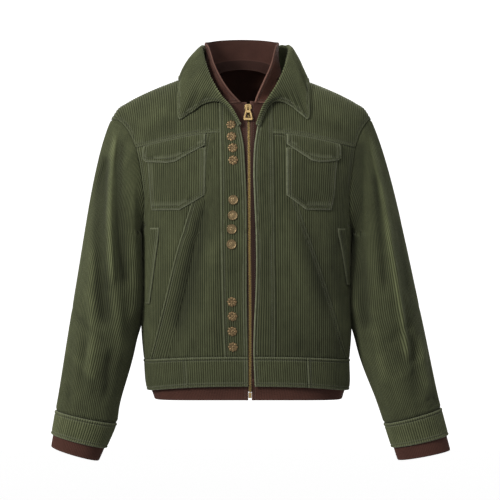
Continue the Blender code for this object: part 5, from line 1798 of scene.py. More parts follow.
@dataclass(frozen=True)
class SleeveForm:
    """One sleeve and its cuffs as a smooth tube. Angle 0 is its outside and 90 degrees its front."""

    trunk: TrunkForm
    side: Side
    clear: float = 0.5
    lean: float = 9.0
    lean_step: float = 1.72
    lean_span: float = 0.09
    free: float = -450.0
    tuck: float = 3.5
    hugging: float = 34.0

    def row(self, step: Array) -> list[Array]:
        """Reads the ring's columns below the sleeve's head.

        Args:
            step: The steps.

        Returns:
            The columns.
        """
        rows = np.array(RINGS[self.side], float)
        made = [Curve(range(1, 6), rows[:, k])(np.minimum(step, 5.0)) for k in range(6)]
        made[2] = made[2] - self.lean / (1 + np.exp((np.asarray(step) - self.lean_step) / self.lean_span))
        return made

    def ring(self, step: Array, angle: Array) -> Array:
        """Points below the sleeve's head, before folds.

        Args:
            step: From 1 at the first ring to 5 at the cuff's end, and a little on.
            angle: The angles.

        Returns:
            The points.
        """
        outer_x, outer_z, inner_x, inner_z, depth, half_depth = self.row(step)
        cos, sin, side = np.cos(angle), np.sin(angle), self.side.value
        x = side * ((outer_x + inner_x) / 2 + (outer_x - inner_x) / 2 * cos)
        z = (outer_z + inner_z) / 2 + (outer_z - inner_z) / 2 * cos
        point = np.stack(np.broadcast_arrays(x, depth - half_depth * sin, z), axis=-1)
        if np.any(step > 5):
            before = self.ring(np.full(np.shape(step), 4.5), angle)
            more = np.maximum(np.asarray(step) - 5, 0)[..., None] / 0.5
            point = point + (point - before) * more
        return point

    def loop(self, angle: Array) -> Array:
        """Finds the armhole's points.

        Args:
            angle: Angles round it, from the shoulder down the front.

        Returns:
            The points.
        """
        rows = np.array(ARMHOLE, float)
        side = self.side.value
        beside = np.array(side * math.pi / 2)
        top, under = (self.trunk.point(beside, np.array(level)) for level in (self.trunk.arch, 0.0))
        reach, z = side * rows.T[0], rows.T[1]
        front, back = (self.trunk.on(*self.trunk.reach_spot(reach, z, there), there)[0]
                       for there in (True, False))
        points = np.concatenate([top[None], front, under[None], back[::-1]])
        count = len(points)
        wrapped = np.concatenate([points[-3:], points, points[:4]])
        places = np.linspace(0, count, 1601)
        run = run_length(refine(wrapped, 0, places + 3)[:, None], 0)[:, 0]
        half = float(np.interp(count / 2, places, run))
        share = np.ravel(angle) / math.pi
        share = np.where(share < 1, share * half, half + (share - 1) * (run[-1] - half))
        return refine(wrapped, 0, np.interp(share, run, places) + 3).reshape(*np.shape(angle), 3)

    def slide(self, step: Array, angle: Array) -> Array:
        """Finds where round the form the wales run: near the armhole they climb to the shoulder.

        Args:
            step: The steps.
            angle: The wales' angles.

        Returns:
            The angles.
        """
        turn = np.degrees(angle) % 360
        front = turn <= 180
        start = WALE_START(np.where(front, turn, 360 - turn))
        start = np.where(front, start, 360 - start)
        return np.radians(turn + (start - turn) * (1 - np.clip(step, 0, 1)) ** 2)

    def leave(self, angle: Array) -> Array:
        """Finds which way the cloth leaves the armhole.

        Args:
            angle: The angles.

        Returns:
            Unit vectors.
        """
        low = (1 - np.cos(angle)) / 2
        out = low * (1 - low**6)
        side = self.side.value
        return unit(np.stack([side * (0.42 + 0.6 * out), -0.35 * np.sin(angle), -(0.92 - 0.86 * out)], axis=-1))

    def press(self, step: Array, angle: Array, point: Array) -> Array:
        """Adds up how far the folds push in.

        Args:
            step: The steps.
            angle: The angles.
            point: The points before.

        Returns:
            The depths.
        """
        total = pressed(point[..., 0], point[..., 2], SLEEVE_DRAPE[self.side])
        total = total * np.clip(np.sin(angle) * 4, 0, 1)
        turn = np.degrees(angle) % 360
        for fold in (*SLEEVE_FOLDS, *SLEEVE_CREASES[self.side]):
            total = total + fold.press(step, turn)
        return total

    def grid(self, steps: Array, angles: Array) -> Array:
        """The tube's points.

        Args:
            steps: 0 at the armhole, 1 at the first ring, 5 at the cuff's end.
            angles: The angles.

        Returns:
            Steps by angles by 3.
        """
        step, angle = np.broadcast_arrays(np.asarray(steps, float)[:, None], np.asarray(angles, float)[None])
        angle = self.slide(step, angle)
        t = np.clip(step, 0, 1)[..., None]
        start = self.loop(angle)
        end = self.ring(np.full(step.shape, 1.0), angle)
        length = np.linalg.norm(end - start, axis=-1, keepdims=True)
        low = (1 - np.cos(angle))[..., None] / 2
        leave = self.leave(angle) * length * (0.75 - 0.25 * low)
        arrive = unit(self.ring(np.full(step.shape, 1.1), angle) - end) * length
        head = hermite(t, start, end, leave, arrive)
        point = np.where(step[..., None] >= 1, self.ring(np.maximum(step, 1.0), angle), head)
        first = RINGS[self.side][0]
        across = self.side.value * (first.outer_x + first.inner_x) / 2
        middle = np.stack([np.full(step.shape, across), point[..., 1] * 0.3, point[..., 2]], axis=-1)
        fade = np.clip(step * 4, 0, 1)[..., None]
        point = point - unit(point - middle) * self.press(step, angle, point)[..., None] * fade
        point = np.where(step[..., None] > 0, self.off_trunk(point, angle), point)
        tuck = np.clip(-step, 0, 1)[..., None] / 0.02
        return point - unit(leave) * tuck * self.tuck

    def tone(self, steps: Array, angles: Array, points: Array) -> Array:
        """Finds the folds' painted light and shade: lighter on the ridges, darker in the troughs, and the cuff
        lighter all over.

        Args:
            steps: The rows' steps.
            angles: The columns' angles.
            points: The tube's points.

        Returns:
            The tones.
        """
        step, angle = np.broadcast_arrays(np.asarray(steps, float)[:, None], np.asarray(angles, float)[None])
        press = self.press(step, self.slide(step, angle), points)
        return np.where(press < 0, press / -4.8, np.maximum(press / -6.0, -0.9)) + 0.95 * (step > CUFF_STEP)

    def off_trunk(self, point: Array, angle: Array) -> Array:
        """Moves points outwards until they clear the trunk, and lays the inside against it.

        Args:
            point: The points.
            angle: Their angles.

        Returns:
            The points after it.
        """
        x, y, z = np.moveaxis(point, -1, 0)
        trunk, side = self.trunk, self.side.value
        level = np.minimum(z - trunk.underarm, 0)
        depth = np.where(y < trunk.middle, trunk.at("front", level), trunk.at("back", level))
        share = np.abs(y - trunk.middle) / depth
        gap = np.minimum(self.clear, 0.5 * (trunk.underarm - z))
        edge = np.maximum(1 - share**trunk.roundness, 0) ** (1 / trunk.roundness)
        edge = trunk.at("half", level) * edge + gap
        reach = np.maximum(side * (x - trunk.at("centre", level)), edge)
        hug = bell(np.degrees(angle) - 180, self.hugging) * eased((z - self.free) / 40)
        hug = hug * eased((trunk.underarm - z) / 2)
        reach = reach + (edge - reach) * hug
        beside = (z < trunk.underarm) & (share < 1)
        return np.stack([np.where(beside, trunk.at("centre", level) + side * reach, x), y, z], axis=-1)


@dataclass(frozen=True)
class Sleeve:
    """The tube's three pieces: sleeve, corduroy cuff and brown cuff."""

    form: SleeveForm
    joint: float = 0.0025
    inner: tuple[float, float] = (4.6, 5.52)

    def tube(self, name: str, weave: Weave, wall: float, first: float, last: float, edges: Edges,
             inset: float = 0.0, folded: bool = True) -> Cloth:
        """Lays a stretch of the tube.

        Args:
            name: The piece's name.
            weave: Its weave.
            wall: Its thickness.
            first: The step where it starts.
            last: The step where it ends.
            edges: The finishes.
            inset: How far it lies inside the tube.
            folded: Whether the sleeve's folds run on in it.

        Returns:
            The piece.
        """
        cloth = Cloth(name, weave, wall)
        grid = self.form.grid if folded else lambda s, a: self.form.ring(*np.meshgrid(s, a, indexing="ij"))
        dense, few = np.linspace(first, last, 161), np.linspace(0, 2 * math.pi, 65)
        sample = grid(dense, few)
        run = run_length(sample, 0).mean(axis=1)
        around = float(run_length(sample, 1)[80, -1])
        wale = weave.whole(around)
        angles = wale / round(wale[-1] + 0.5) * 2 * math.pi
        shares = spread(run[-1], weave.step)
        steps = np.interp(shares * run[-1], run, dense)
        points = grid(steps, angles)
        around = np.roll(points, -1, axis=1) - np.roll(points, 1, axis=1)
        out = unit(np.cross(around, np.gradient(points, run_length(points, 0).mean(axis=1), axis=0)))
        if ((points - points.mean(axis=1, keepdims=True)) * out).sum() < 0:
            out = -out
        points = points - out * np.clip(1 - steps / 0.02, 0, 2)[:, None, None] * 1.1
        tone = self.form.tone(steps, angles, points) if folded else 0.0
        cloth.lay(points - out * inset, out, wale, edges, ring=True, tone=tone)
        return cloth

    def pieces(self) -> list[Cloth]:
        """Lays the three pieces.

        Returns:
            The sleeve, the cuff and the inner cuff.
        """
        word = self.form.side.label
        return [
            self.tube(f"sleeve_{word}", CORDUROY, CORDUROY_WALL, -0.02, CUFF_STEP - self.joint,
                      Edges(Finish.SUNK, Finish.SUNK)),
            self.tube(f"cuff_{word}", CORDUROY, CORDUROY_WALL, CUFF_STEP + self.joint, CUFF_END,
                      Edges(Finish.LAPPED, Finish.FOLDED), inset=-0.5),
            self.tube(f"inner_cuff_{word}", RIB, BROWN_WALL, *self.inner,
                      Edges(Finish.PLAIN_FOLD, Finish.PLAIN_FOLD), inset=CUFF_INSET, folded=False),
        ]


# ---------------------------------------------------------------- collars

SEAM_SHIFT = {0: 2.0, 1: 3.0, 2: 3.4, 3: 2.4, 4: 1.0}  # how far in the stand starts at the front stations
COLLAR_BULGE = {Side.RIGHT: 0.08, Side.LEFT: 0.03}  # how far the fall bows out, as a share of its width


class InnerStation(NamedTuple):
    """A station of half the brown stand collar: the places of its top and its base."""

    centre: float
    top_reach: float
    top_depth: float
    top_height: float
    base_reach: float
    base_depth: float
    base_height: float


INNER_COLLAR = tuple(InnerStation(*row) for row in (
    (-4.5, 12.5, -79, -47, 34, -74, -48.5), (-8, 20.5, -79, -36, 41, -67, -37),
    (-11, 31, -77, -20, 51, -58, -22), (-12.5, 39, -72, -5, 59, -48, -9), (-13, 47, -65, 11, 65, -36, 2),
    (-13.5, 54, -54, 29, 69.5, -22, 10), (-14, 58.5, -42, 46, 71.5, -8, 17),
    (-14.5, 63, -24, 60, 71, 10, 22), (-15, 69, 2, 69, 64, 27, 28), (-15, 62, 34, 73.5, 50, 41, 33),
    (-15.5, 40, 55, 78.5, 32, 49, 38), (-16, 0, 64, 81, 0, 55.5, 41),
))


class CollarCrease(NamedTuple):
    """A soft dent across the collar's fall: its station, its half width in stations, its depth."""

    station: float
    width: float
    depth: float


@dataclass(frozen=True)
class Collars:
    """The folded corduroy collar and the brown stand collar."""

    trunk: TrunkForm
    roll: float = 3.2
    creases: tuple[CollarCrease, ...] = (
        CollarCrease(4.2, 0.35, 1.0), CollarCrease(5.3, 0.4, 1.3), CollarCrease(8.3, 0.5, 1.2),
        CollarCrease(12.0, 0.7, 1.2), CollarCrease(17.5, 0.7, 1.2), CollarCrease(22.5, 0.5, 1.0),
        CollarCrease(24.3, 0.16, 1.5),
        CollarCrease(24.9, 0.14, 1.4), CollarCrease(25.5, 0.16, 1.6), CollarCrease(26.1, 0.16, 1.3),
    )

    def station(self, row: Neck, side: Side, number: int) -> tuple[Array, Array, Array]:
        """Finds the collar's places at a station.

        Args:
            row: The station.
            side: Which half.
            number: Its number.

        Returns:
            Its seam, roll and edge.
        """
        trunk, sign = self.trunk, side.value
        top = float(trunk.at("centre", trunk.arch))
        on_front = row.part == "front"

        def lay(x: float, height: float) -> tuple[Array, Array]:
            """Finds a place on the trunk.

            Args:
                x: The place across.
                height: The place up, or on the back the height over the ridge.

            Returns:
                Its point and outward direction.
            """
            if row.part == "ridge":
                share = np.array((x - top) / trunk.at("half", trunk.arch))
                return trunk.on(share, np.array(trunk.arch), True)[0], np.array([0.0, 0.0, 1.0])
            z = height if on_front else float(trunk.ridge(abs(x - top))) + height
            return trunk.on(*trunk.spot(x, z, row.part != "back"), row.part != "back")

        centre = float(COLLAR_CENTRE(row.height if on_front else 0))
        seam = lay(centre + sign * row.reach, row.height)[0].reshape(3)
        seam = seam - np.array([sign * SEAM_SHIFT.get(number, 0.0), 0, 0])
        centre = float(COLLAR_CENTRE(row.roll_height))
        roll = np.array([centre + sign * row.roll_reach, row.roll_depth, row.roll_height])
        centre = float(EDGE_CENTRE(row.edge_reach)) if on_front else -11.5
        point, out = lay(centre + sign * row.edge_reach, row.edge_height)
        return seam, roll, (point + out * row.edge_lift).reshape(3)

    def path(self, seam: Array, roll: Array, edge: Array, away: Array, side: Side) -> Array:
        """Draws the outer face at a station, from the stand's foot over the roll to the free edge.

        Args:
            seam: Where it is sewn in.
            roll: The top of its roll.
            edge: Its free edge.
            away: Which way the fall stands off the stand.
            side: Which half.

        Returns:
            Its points.
        """
        stand, fall = roll - seam, edge - roll
        high, wide = np.linalg.norm(stand), np.linalg.norm(fall)
        size, up = min(self.roll, 0.32 * wide, 0.25 * high), unit(stand)
        base, bulge = seam + up * min(2.0, 0.25 * high), COLLAR_BULGE[side] * wide
        return np.array([
            base,
            base + (roll - base) * 0.5 - away * 0.3 * size,
            roll - up * size * 1.6 - away * 0.2 * size,
            roll,
            roll - up * size * 0.7 + away * size * 1.5,
            roll + fall * 0.36 + away * (size * 0.9 + bulge * 0.8),
            roll + fall * 0.68 + away * bulge,
            edge,
        ])

    def outer(self) -> Cloth:
        """Lays the corduroy collar, stand and fall in one, folded over.

        Returns:
            The piece.
        """
        cloth = Cloth("collar", CORDUROY, 1.3)
        rows = [(row, Side.RIGHT, k) for k, row in enumerate(NECK)]
        rows += [(row, Side.LEFT, k) for k, row in reversed(list(enumerate(NECK[:-1])))]
        middle = np.array([-8.0, -5.0, 20.0])
        made, previous = [], np.array([0.0, -1.0, 0.0])
        for row, side, number in rows:
            seam, roll, edge = self.station(row, side, number)
            stand, fall = unit(roll - seam), edge - roll
            away = previous
            if np.linalg.norm(np.cross(roll - seam, fall)) > 1:
                turned = unit(fall - fall @ stand * stand)
                away = turned if turned @ (roll - middle) >= 0 else previous
            previous = away
            made.append(self.path(seam, roll, edge, away, side))
        grid = np.array(made).transpose(1, 0, 2)
        fine = refine(grid, 1, np.linspace(0, len(rows) - 1, 1500))
        run = run_length(fine[5:7], 1).mean(axis=0)
        wale = cloth.weave.columns(run[-1])
        station = np.interp(wale * cloth.weave.pitch, run, np.linspace(0, len(rows) - 1, 1500))
        grid = refine(grid, 1, station)
        steps = np.linspace(0, 7, 141)
        dense = refine(grid, 0, steps)
        length = run_length(dense, 0)
        shares = spread(float(length[-1].max()), 5.5)
        points = np.stack([
            np.stack([np.interp(shares * run[-1], run, line) for line in lines.T], axis=1)
            for run, lines in zip(length.T, dense.transpose(1, 0, 2))
        ], axis=1)
        out = unit(np.cross(np.gradient(points, axis=1), np.gradient(points, axis=0)))
        peak = points[..., 2].argmax(axis=0)
        if sum(out[r, c, 2] for c, r in enumerate(peak)) < 0:
            out = -out
        fallen = eased((shares - 0.45) / 0.3)[:, None]
        rolled = (shares[:, None] - length[60] / length[-1]) * length[-1]
        lapel = eased((6 - np.minimum(station, len(rows) - 1 - station)) / 2)
        # painted light and shade: the fall and a painted highlight along the lapel's roll lighter, the creases
        # across the fall darker
        tone = 0.3 * fallen + 1.6 * lapel * bell(rolled, 3.0)
        for crease in self.creases:
            dent = crease.depth * bell(station - crease.station, crease.width)
            points = points - out * (dent[None] * fallen)[..., None]
            tone = tone - 0.75 * dent[None] * fallen
        walls = np.interp(station, np.arange(len(rows)), [min(1.3, row.wall) for row, _, _ in rows])
        edges = Edges(Finish.SEWN, Finish.FOLDED, Finish.FOLDED, Finish.FOLDED)
        cloth.lay(points, out, wale, edges, wall=walls[None], tone=tone)
        return cloth

    def inner(self) -> Cloth:
        """Lays the brown stand collar, open at the front.

        Returns:
            The piece.
        """
        cloth = Cloth("inner_collar", BRUSHED, BROWN_WALL)
        rows = [(row, -1) for row in INNER_COLLAR] + [(row, 1) for row in reversed(INNER_COLLAR[:-1])]
        top = np.array([[r.centre + s * r.top_reach, r.top_depth, r.top_height] for r, s in rows], float)
        base = np.array([[r.centre + s * r.base_reach, r.base_depth, r.base_height] for r, s in rows], float)
        fine = refine(top[None], 1, np.linspace(0, len(rows) - 1, 900))
        run = run_length(fine, 1)[0]
        wale = cloth.weave.columns(run[-1])
        station = np.interp(wale * cloth.weave.pitch, run, np.linspace(0, len(rows) - 1, 900))
        pair = refine(np.stack([base, top]), 1, station)
        shares = spread(40.0, 6.0)[:, None, None]
        points = pair[0] + (pair[1] - pair[0]) * shares
        out = unit(np.cross(np.gradient(points, axis=0), np.gradient(points, axis=1)))
        if (out * (points - np.array([-12.0, 0, 0]))).sum() < 0:
            out = -out
        sag = 0.9 * ripple(station[None] * 17, shares[..., 0] * 40, 5) * np.sin(math.pi * shares[..., 0])
        edges = Edges(Finish.PLAIN_FOLD, Finish.FOLDED, Finish.FOLDED, Finish.FOLDED)
        # painted light: the stand's left half is painted lighter, where it faces away from the key lamp
        tone = 0.2 + 1.5 * eased((station - 12) / 8)[None]
        cloth.lay(points + out * sag[..., None], out, wale, edges, tone=tone)
        keep = (station > 6.0) & (station < len(rows) - 7.0)
        down = (pair[0] - pair[1])[keep] * 0.45
        shares = 1 - spread(16.0, 6.0)[:, None, None]
        points = (pair[0][keep] - out[0][keep] * 1.2)[None] + down[None] * shares
        # painted shade: the band that hangs down inside the neck is painted darker
        cloth.lay(points, np.broadcast_to(out[0][keep], points.shape), wale[keep], ALL_FOLDED, tone=-0.5)
        return cloth


# ---------------------------------------------------------------- finishes


Colour = tuple[float, float, float]
NOISE_SPAN = (0.3, 0.7)  # where nearly all of a noise's values lie


@dataclass
class Nodes:
    """A short way to write a material's nodes."""

    tree: bpy.types.NodeTree

    def add(self, kind: str, **settings) -> bpy.types.Node:
        """Adds a node and sets its properties and inputs by name.

        Args:
            kind: The node's type without ShaderNode.
            settings: Properties, or inputs where no property has that name.

        Returns:
            The node.
        """
        node = self.tree.nodes.new("ShaderNode" + kind)
        for name, value in settings.items():
            if hasattr(node, name):
                setattr(node, name, value)
                continue
            self.feed(node.inputs[int(name[1:]) if name[0] == "i" and name[1:].isdigit() else name], value)
        return node

    def feed(self, socket: bpy.types.NodeSocket, value: object) -> None:
        """Links a socket to another, or sets its value.

        Args:
            socket: What takes it.
            value: A socket, a number or a colour.
        """
        if isinstance(value, bpy.types.NodeSocket):
            self.tree.links.new(value, socket)
        else:
            socket.default_value = value

    def value(self, operation: str, first: object, second: object = 0.0) -> bpy.types.NodeSocket:
        """Adds a sum on one or two numbers."""
        return self.add("Math", operation=operation, i0=first, i1=second).outputs[0]

    def product(self, first: object, second: object) -> bpy.types.NodeSocket:
        """Multiplies two numbers."""
        return self.value("MULTIPLY", first, second)

    def total(self, first: object, *others: object) -> bpy.types.NodeSocket:
        """Adds numbers up.

        Args:
            first: The first one.
            others: The others.

        Returns:
            The sum.
        """
        for other in others:
            first = self.value("ADD", first, other)
        return first

    def place(self) -> bpy.types.NodeSocket:
        """Reads the place in the scene."""
        return self.add("NewGeometry").outputs["Position"]

    def grain(self) -> bpy.types.NodeSocket:
        """Reads the place in the flat cloth, across and along its wales."""
        return self.add("Attribute", attribute_name="grain").outputs["Vector"]

    def scaled(self, vector: object, across: float, along: float, turn: float = 0.0) -> bpy.types.NodeSocket:
        """Turns and scales places in the flat cloth."""
        return self.add("Mapping", Vector=vector, Rotation=(0, 0, turn), Scale=(across, along, 1)).outputs[0]

    def number(self, name: str) -> bpy.types.NodeSocket:
        """Reads a number kept on the mesh."""
        return self.add("Attribute", attribute_name=name).outputs["Fac"]

    def noise(self, vector: object, scale: float, detail: float = 3.0, rough: float = 0.55,
              ) -> bpy.types.NodeSocket:
        """Adds a noise texture."""
        return self.add("TexNoise", Vector=vector, Scale=scale, Detail=detail, Roughness=rough).outputs["Fac"]

    def ramp(self, value: object, *stops: tuple[float, Colour]) -> bpy.types.NodeSocket:
        """Adds a colour ramp.

        Args:
            value: What it reads.
            stops: Its places and their colours.

        Returns:
            The colour.
        """
        node = self.add("ValToRGB", Fac=value)
        elements = node.color_ramp.elements
        while len(elements) < len(stops):
            elements.new(0.5)
        for element, (place, colour) in zip(elements, stops):
            element.position, element.color = place, (*colour, 1)
        return node.outputs["Color"]

    def range(self, value: object, low: float, high: float, to_low: float, to_high: float,
              ) -> bpy.types.NodeSocket:
        """Maps a number from one range to another."""
        names = {"From Min": low, "From Max": high, "To Min": to_low, "To Max": to_high}
        return self.add("MapRange", Value=value, **names).outputs["Result"]

    def vary(self, noise: object, low: float, high: float) -> bpy.types.NodeSocket:
        """Spreads a noise over a range."""
        return self.range(noise, *NOISE_SPAN, low, high)

    def mix(self, share: object, first: object, second: object, blend: str = "MIX") -> bpy.types.NodeSocket:
        """Mixes two colours.

        Args:
            share: How much of the second.
            first: A colour.
            second: Another.
            blend: The way to mix them.

        Returns:
            The mixed colour.
        """
        node = self.add("Mix", data_type="RGBA", blend_type=blend)
        for number, value in zip((0, 6, 7), (share, first, second)):
            self.feed(node.inputs[number], (*value, 1) if isinstance(value, tuple) else value)
        return node.outputs[2]

    def shaded(self, colour: object, tone: object) -> bpy.types.NodeSocket:
        """Multiplies a colour by a number."""
        grey = self.add("CombineColor", Red=tone, Green=tone, Blue=tone).outputs[0]
        return self.mix(1.0, colour, grey, "MULTIPLY")

    def bump(self, height: object, strength: float, distance: float) -> bpy.types.NodeSocket:
        """Turns a height into a bump."""
        return self.add("Bump", Strength=strength, Distance=distance, Height=height).outputs[0]


@dataclass(frozen=True)
class Paint:
    """A finish: the name of its material, and what goes into its shader."""

    name: str

    def paint(self, nodes: Nodes) -> dict[str, object]:
        """Adds the nodes that it needs, and returns what goes into each of the shader's sockets."""
        raise NotImplementedError

    def make(self) -> bpy.types.Material:
        """Builds the material.

        Returns:
            The material.
        """
        material = bpy.data.materials.new(self.name)
        material.use_nodes = True
        nodes = Nodes(material.node_tree)
        for name, value in self.paint(nodes).items():
            nodes.feed(material.node_tree.nodes["Principled BSDF"].inputs[name], value)
        return material


@dataclass(frozen=True)
class CorduroyFinish(Paint):
    """Olive cotton corduroy: painted shade between the wales, lighter tops, and folded edges painted lighter
    for rubbed pile and a painted highlight.
    """

    name: str = "olive_corduroy_cloth"
    # valley, slope and top colour a wale from groove to crest: the dark valley is painted shade in the grooves,
    # the lighter top partly a painted highlight
    valley: Colour = (0.0075, 0.0085, 0.0036)
    slope: Colour = (0.0395, 0.0445, 0.0185)
    top: Colour = (0.088, 0.096, 0.046)
    # rubbed is the colour of rubbed pile, used also as a painted highlight along rolled edges
    rubbed: Colour = (0.24, 0.255, 0.16)
    reverse: Colour = (0.022, 0.021, 0.013)

    def paint(self, nodes: Nodes) -> dict[str, object]:
        """Adds the pile's fibres and streaks, faded and crushed areas, the painted light and shade of folds and
        pieces, and edges painted lighter for rubbed pile and a painted highlight.

        Args:
            nodes: The material's nodes.

        Returns:
            What goes into each of the shader's sockets.
        """
        grain, place = nodes.grain(), nodes.place()
        fibre = nodes.noise(nodes.scaled(grain, 2600, 700), 1.0, 4.0, 0.7)
        streak = nodes.noise(nodes.scaled(grain, 240, 22), 1.0, 3.0)
        fade, crush = nodes.noise(place, 11.0, 4.0), nodes.noise(place, 62.0, 3.0, 0.6)
        lift = nodes.total(nodes.number("ridge"), nodes.vary(fibre, -0.16, 0.16))
        colour = nodes.ramp(lift, (0.0, self.valley), (0.45, self.slope), (0.95, self.top))
        tone = nodes.total(
            nodes.vary(fade, 0.84, 1.12), nodes.vary(streak, -0.13, 0.13), nodes.vary(crush, -0.09, 0.09))
        # the tone mark is painted light and shade: fold ridges and some pieces lighter, fold troughs, creases
        # and shaded pieces darker
        tone = nodes.product(tone, nodes.range(nodes.number("tone"), -1.0, 2.0, 0.5, 2.0))
        # edges painted lighter: rubbed pile with a painted highlight on rolled edges
        rub_and_highlight = nodes.range(nodes.noise(place, 150.0, 3.0), 0.3, 0.68, 0.55, 1.0)
        rub_and_highlight = nodes.product(nodes.number("wear"), rub_and_highlight)
        colour = nodes.mix(rub_and_highlight, nodes.shaded(colour, tone), self.rubbed)
        return {
            "Base Color": nodes.mix(nodes.product(nodes.number("inside"), 0.9), colour, self.reverse),
            "Roughness": 0.92, "Specular IOR Level": 0.15, "Sheen Weight": 0.28, "Sheen Roughness": 0.45,
            "Sheen Tint": (0.62, 0.64, 0.45, 1),
            "Normal": nodes.bump(nodes.total(fibre, nodes.product(crush, 0.6)), 0.4, 0.0004),
        }


@dataclass(frozen=True)
class BrownFinish(Paint):
    """Brown brushed cloth, or with fine ribs where the mesh has them."""

    dark: Colour = (0.033, 0.0125, 0.0082)
    light: Colour = (0.112, 0.0435, 0.0305)
    # rubbed is the colour of rubbed pile, used also as a painted highlight along rolled edges
    rubbed: Colour = (0.17, 0.092, 0.07)

    def paint(self, nodes: Nodes) -> dict[str, object]:
        """Adds the fibres, a slanted twill, faded areas, the painted light and shade of folds and pieces, and
        edges painted lighter for rubbed pile and a painted highlight.

        Args:
            nodes: The material's nodes.

        Returns:
            What goes into each of the shader's sockets.
        """
        grain, place = nodes.grain(), nodes.place()
        fibre = nodes.noise(nodes.scaled(grain, 1500, 1500), 1.0, 4.0, 0.7)
        lines = nodes.scaled(grain, 420, 420, turn=0.9)
        twill = nodes.add("TexWave", Vector=lines, Scale=1.0, Distortion=1.2, Detail=2.0).outputs["Fac"]
        # the ridge mark paints the ribs' grooves darker: painted shade between the ribs
        lift = nodes.total(
            nodes.product(nodes.number("ridge"), 0.62), nodes.vary(fibre, -0.12, 0.22),
            nodes.vary(nodes.noise(place, 26.0, 3.0), -0.1, 0.12), nodes.product(twill, 0.1),
        )
        colour = nodes.ramp(lift, (0.0, self.dark), (1.0, self.light))
        colour = nodes.mix(nodes.product(nodes.number("wear"), 0.5), colour, self.rubbed)
        # the tone mark is painted light and shade: the neck facing and part of the inner collar lighter, the
        # zip strips lower down, fold troughs and the inner collar's lower band darker
        tone = nodes.range(nodes.number("tone"), -1.0, 3.0, 0.4, 2.8)
        tone = nodes.product(tone, nodes.range(nodes.number("inside"), 0.0, 1.0, 1.0, 0.6))
        return {
            "Base Color": nodes.shaded(colour, tone),
            "Roughness": 0.9, "Specular IOR Level": 0.15, "Sheen Weight": 0.06, "Sheen Roughness": 0.5,
            "Sheen Tint": (0.6, 0.42, 0.36, 1),
            "Normal": nodes.bump(nodes.total(fibre, nodes.product(twill, 0.8)), 0.35, 0.0003),
        }


@dataclass(frozen=True)
class MetalFinish(Paint):
    """Old metal: bright where it is rubbed, dark in its hollows, with fine scratches."""

    dark: Colour
    bright: Colour
    roughness: float = 0.36

    def paint(self, nodes: Nodes) -> dict[str, object]:
        """Adds the patina, darker in the hollows, and the scratches.

        Args:
            nodes: The material's nodes.

        Returns:
            What goes into each of the shader's sockets.
        """
        place = nodes.place()
        patina, speck = nodes.noise(place, 420.0, 4.0, 0.6), nodes.noise(place, 2600.0, 3.0, 0.7)
        hollow = nodes.add("AmbientOcclusion", Distance=0.002).outputs["AO"]
        lift = nodes.product(nodes.vary(patina, 0.35, 1.0), nodes.range(hollow, 0.3, 1.0, 0.1, 1.0))
        return {
            "Base Color": nodes.ramp(lift, (0.1, self.dark), (0.8, self.bright)),
            "Metallic": 0.9,
            "Roughness": nodes.vary(speck, self.roughness - 0.06, self.roughness + 0.16),
            "Normal": nodes.bump(speck, 0.2, 0.0002),
        }


@dataclass(frozen=True)
class ThreadFinish(Paint):
    """Sewing thread."""

    colour: Colour

    def paint(self, nodes: Nodes) -> dict[str, object]:
        """Adds the thread's plies.

        Args:
            nodes: The material's nodes.

        Returns:
            What goes into each of the shader's sockets.
        """
        dark = tuple(c * 0.55 for c in self.colour)
        colour = nodes.ramp(nodes.noise(nodes.place(), 1800.0, 2.0), (0.3, dark), (0.7, self.colour))
        return {"Base Color": colour, "Roughness": 0.7, "Sheen Weight": 0.2}


@dataclass(frozen=True)
class PaperFinish(Paint):
    """The studio's pale paper, which glows."""

    glow: float

    def paint(self, nodes: Nodes) -> dict[str, object]:
        """Gives the paper its plain colours.

        Args:
            nodes: The material's nodes.

        Returns:
            What goes into each of the shader's sockets.
        """
        return {
            "Base Color": (0.85, 0.85, 0.85, 1), "Roughness": 0.95, "Specular IOR Level": 0.0,
            "Emission Color": (1, 1, 1, 1), "Emission Strength": self.glow,
        }


class Material(Enum):
    """The jacket's finishes."""

    CORDUROY = CorduroyFinish()
    BROWN = BrownFinish("brown_brushed_cloth")
    ZIP = MetalFinish("zip_old_brass", (0.05, 0.033, 0.015), (0.36, 0.25, 0.11), 0.34)
    DISC = MetalFinish("button_old_brass", (0.022, 0.014, 0.007), (0.165, 0.118, 0.06))
    FLOWER = MetalFinish("button_old_copper", (0.010, 0.006, 0.0035), (0.15, 0.102, 0.05))
    # a darker copy of the zip's brass: painted shade for the chain, which lies in the shade between the fronts
    CHAIN = MetalFinish("zip_brass_painted_shade", (0.035, 0.023, 0.01), (0.25, 0.175, 0.06), 0.42)
    OLIVE_THREAD = ThreadFinish("olive_thread", (0.085, 0.087, 0.05))
    BROWN_THREAD = ThreadFinish("brown_thread", (0.085, 0.042, 0.031))


# ---------------------------------------------------------------- sewing and trims


SHARP = 40.0  # degrees
# A stitch's rings: place along it, height and width. A tooth's rings: reach, half length and half depth.
STITCH = np.array(((0.0, -0.1, 0.45), (0.22, 0.3, 1.0), (0.78, 0.3, 1.0), (1.0, -0.1, 0.45)))
TOOTH = np.array(((-2.7, 0.75, 1.15), (-1.2, 0.85, 1.2), (0.4, 0.95, 1.05), (1.3, 0.8, 0.8)))
TOOTH_RING = np.array(((-1, -0.7), (-0.7, -1), (0.7, -1), (1, -0.7), (1, 0.7), (0.7, 1), (-0.7, 1), (-1, 0.7)))
TAPE = ((0.3, 0.9), (2.9, 0.9), (2.9, -0.5), (2.1, -0.7), (1.9, -0.2), (0.3, 0.2))  # reach, depth


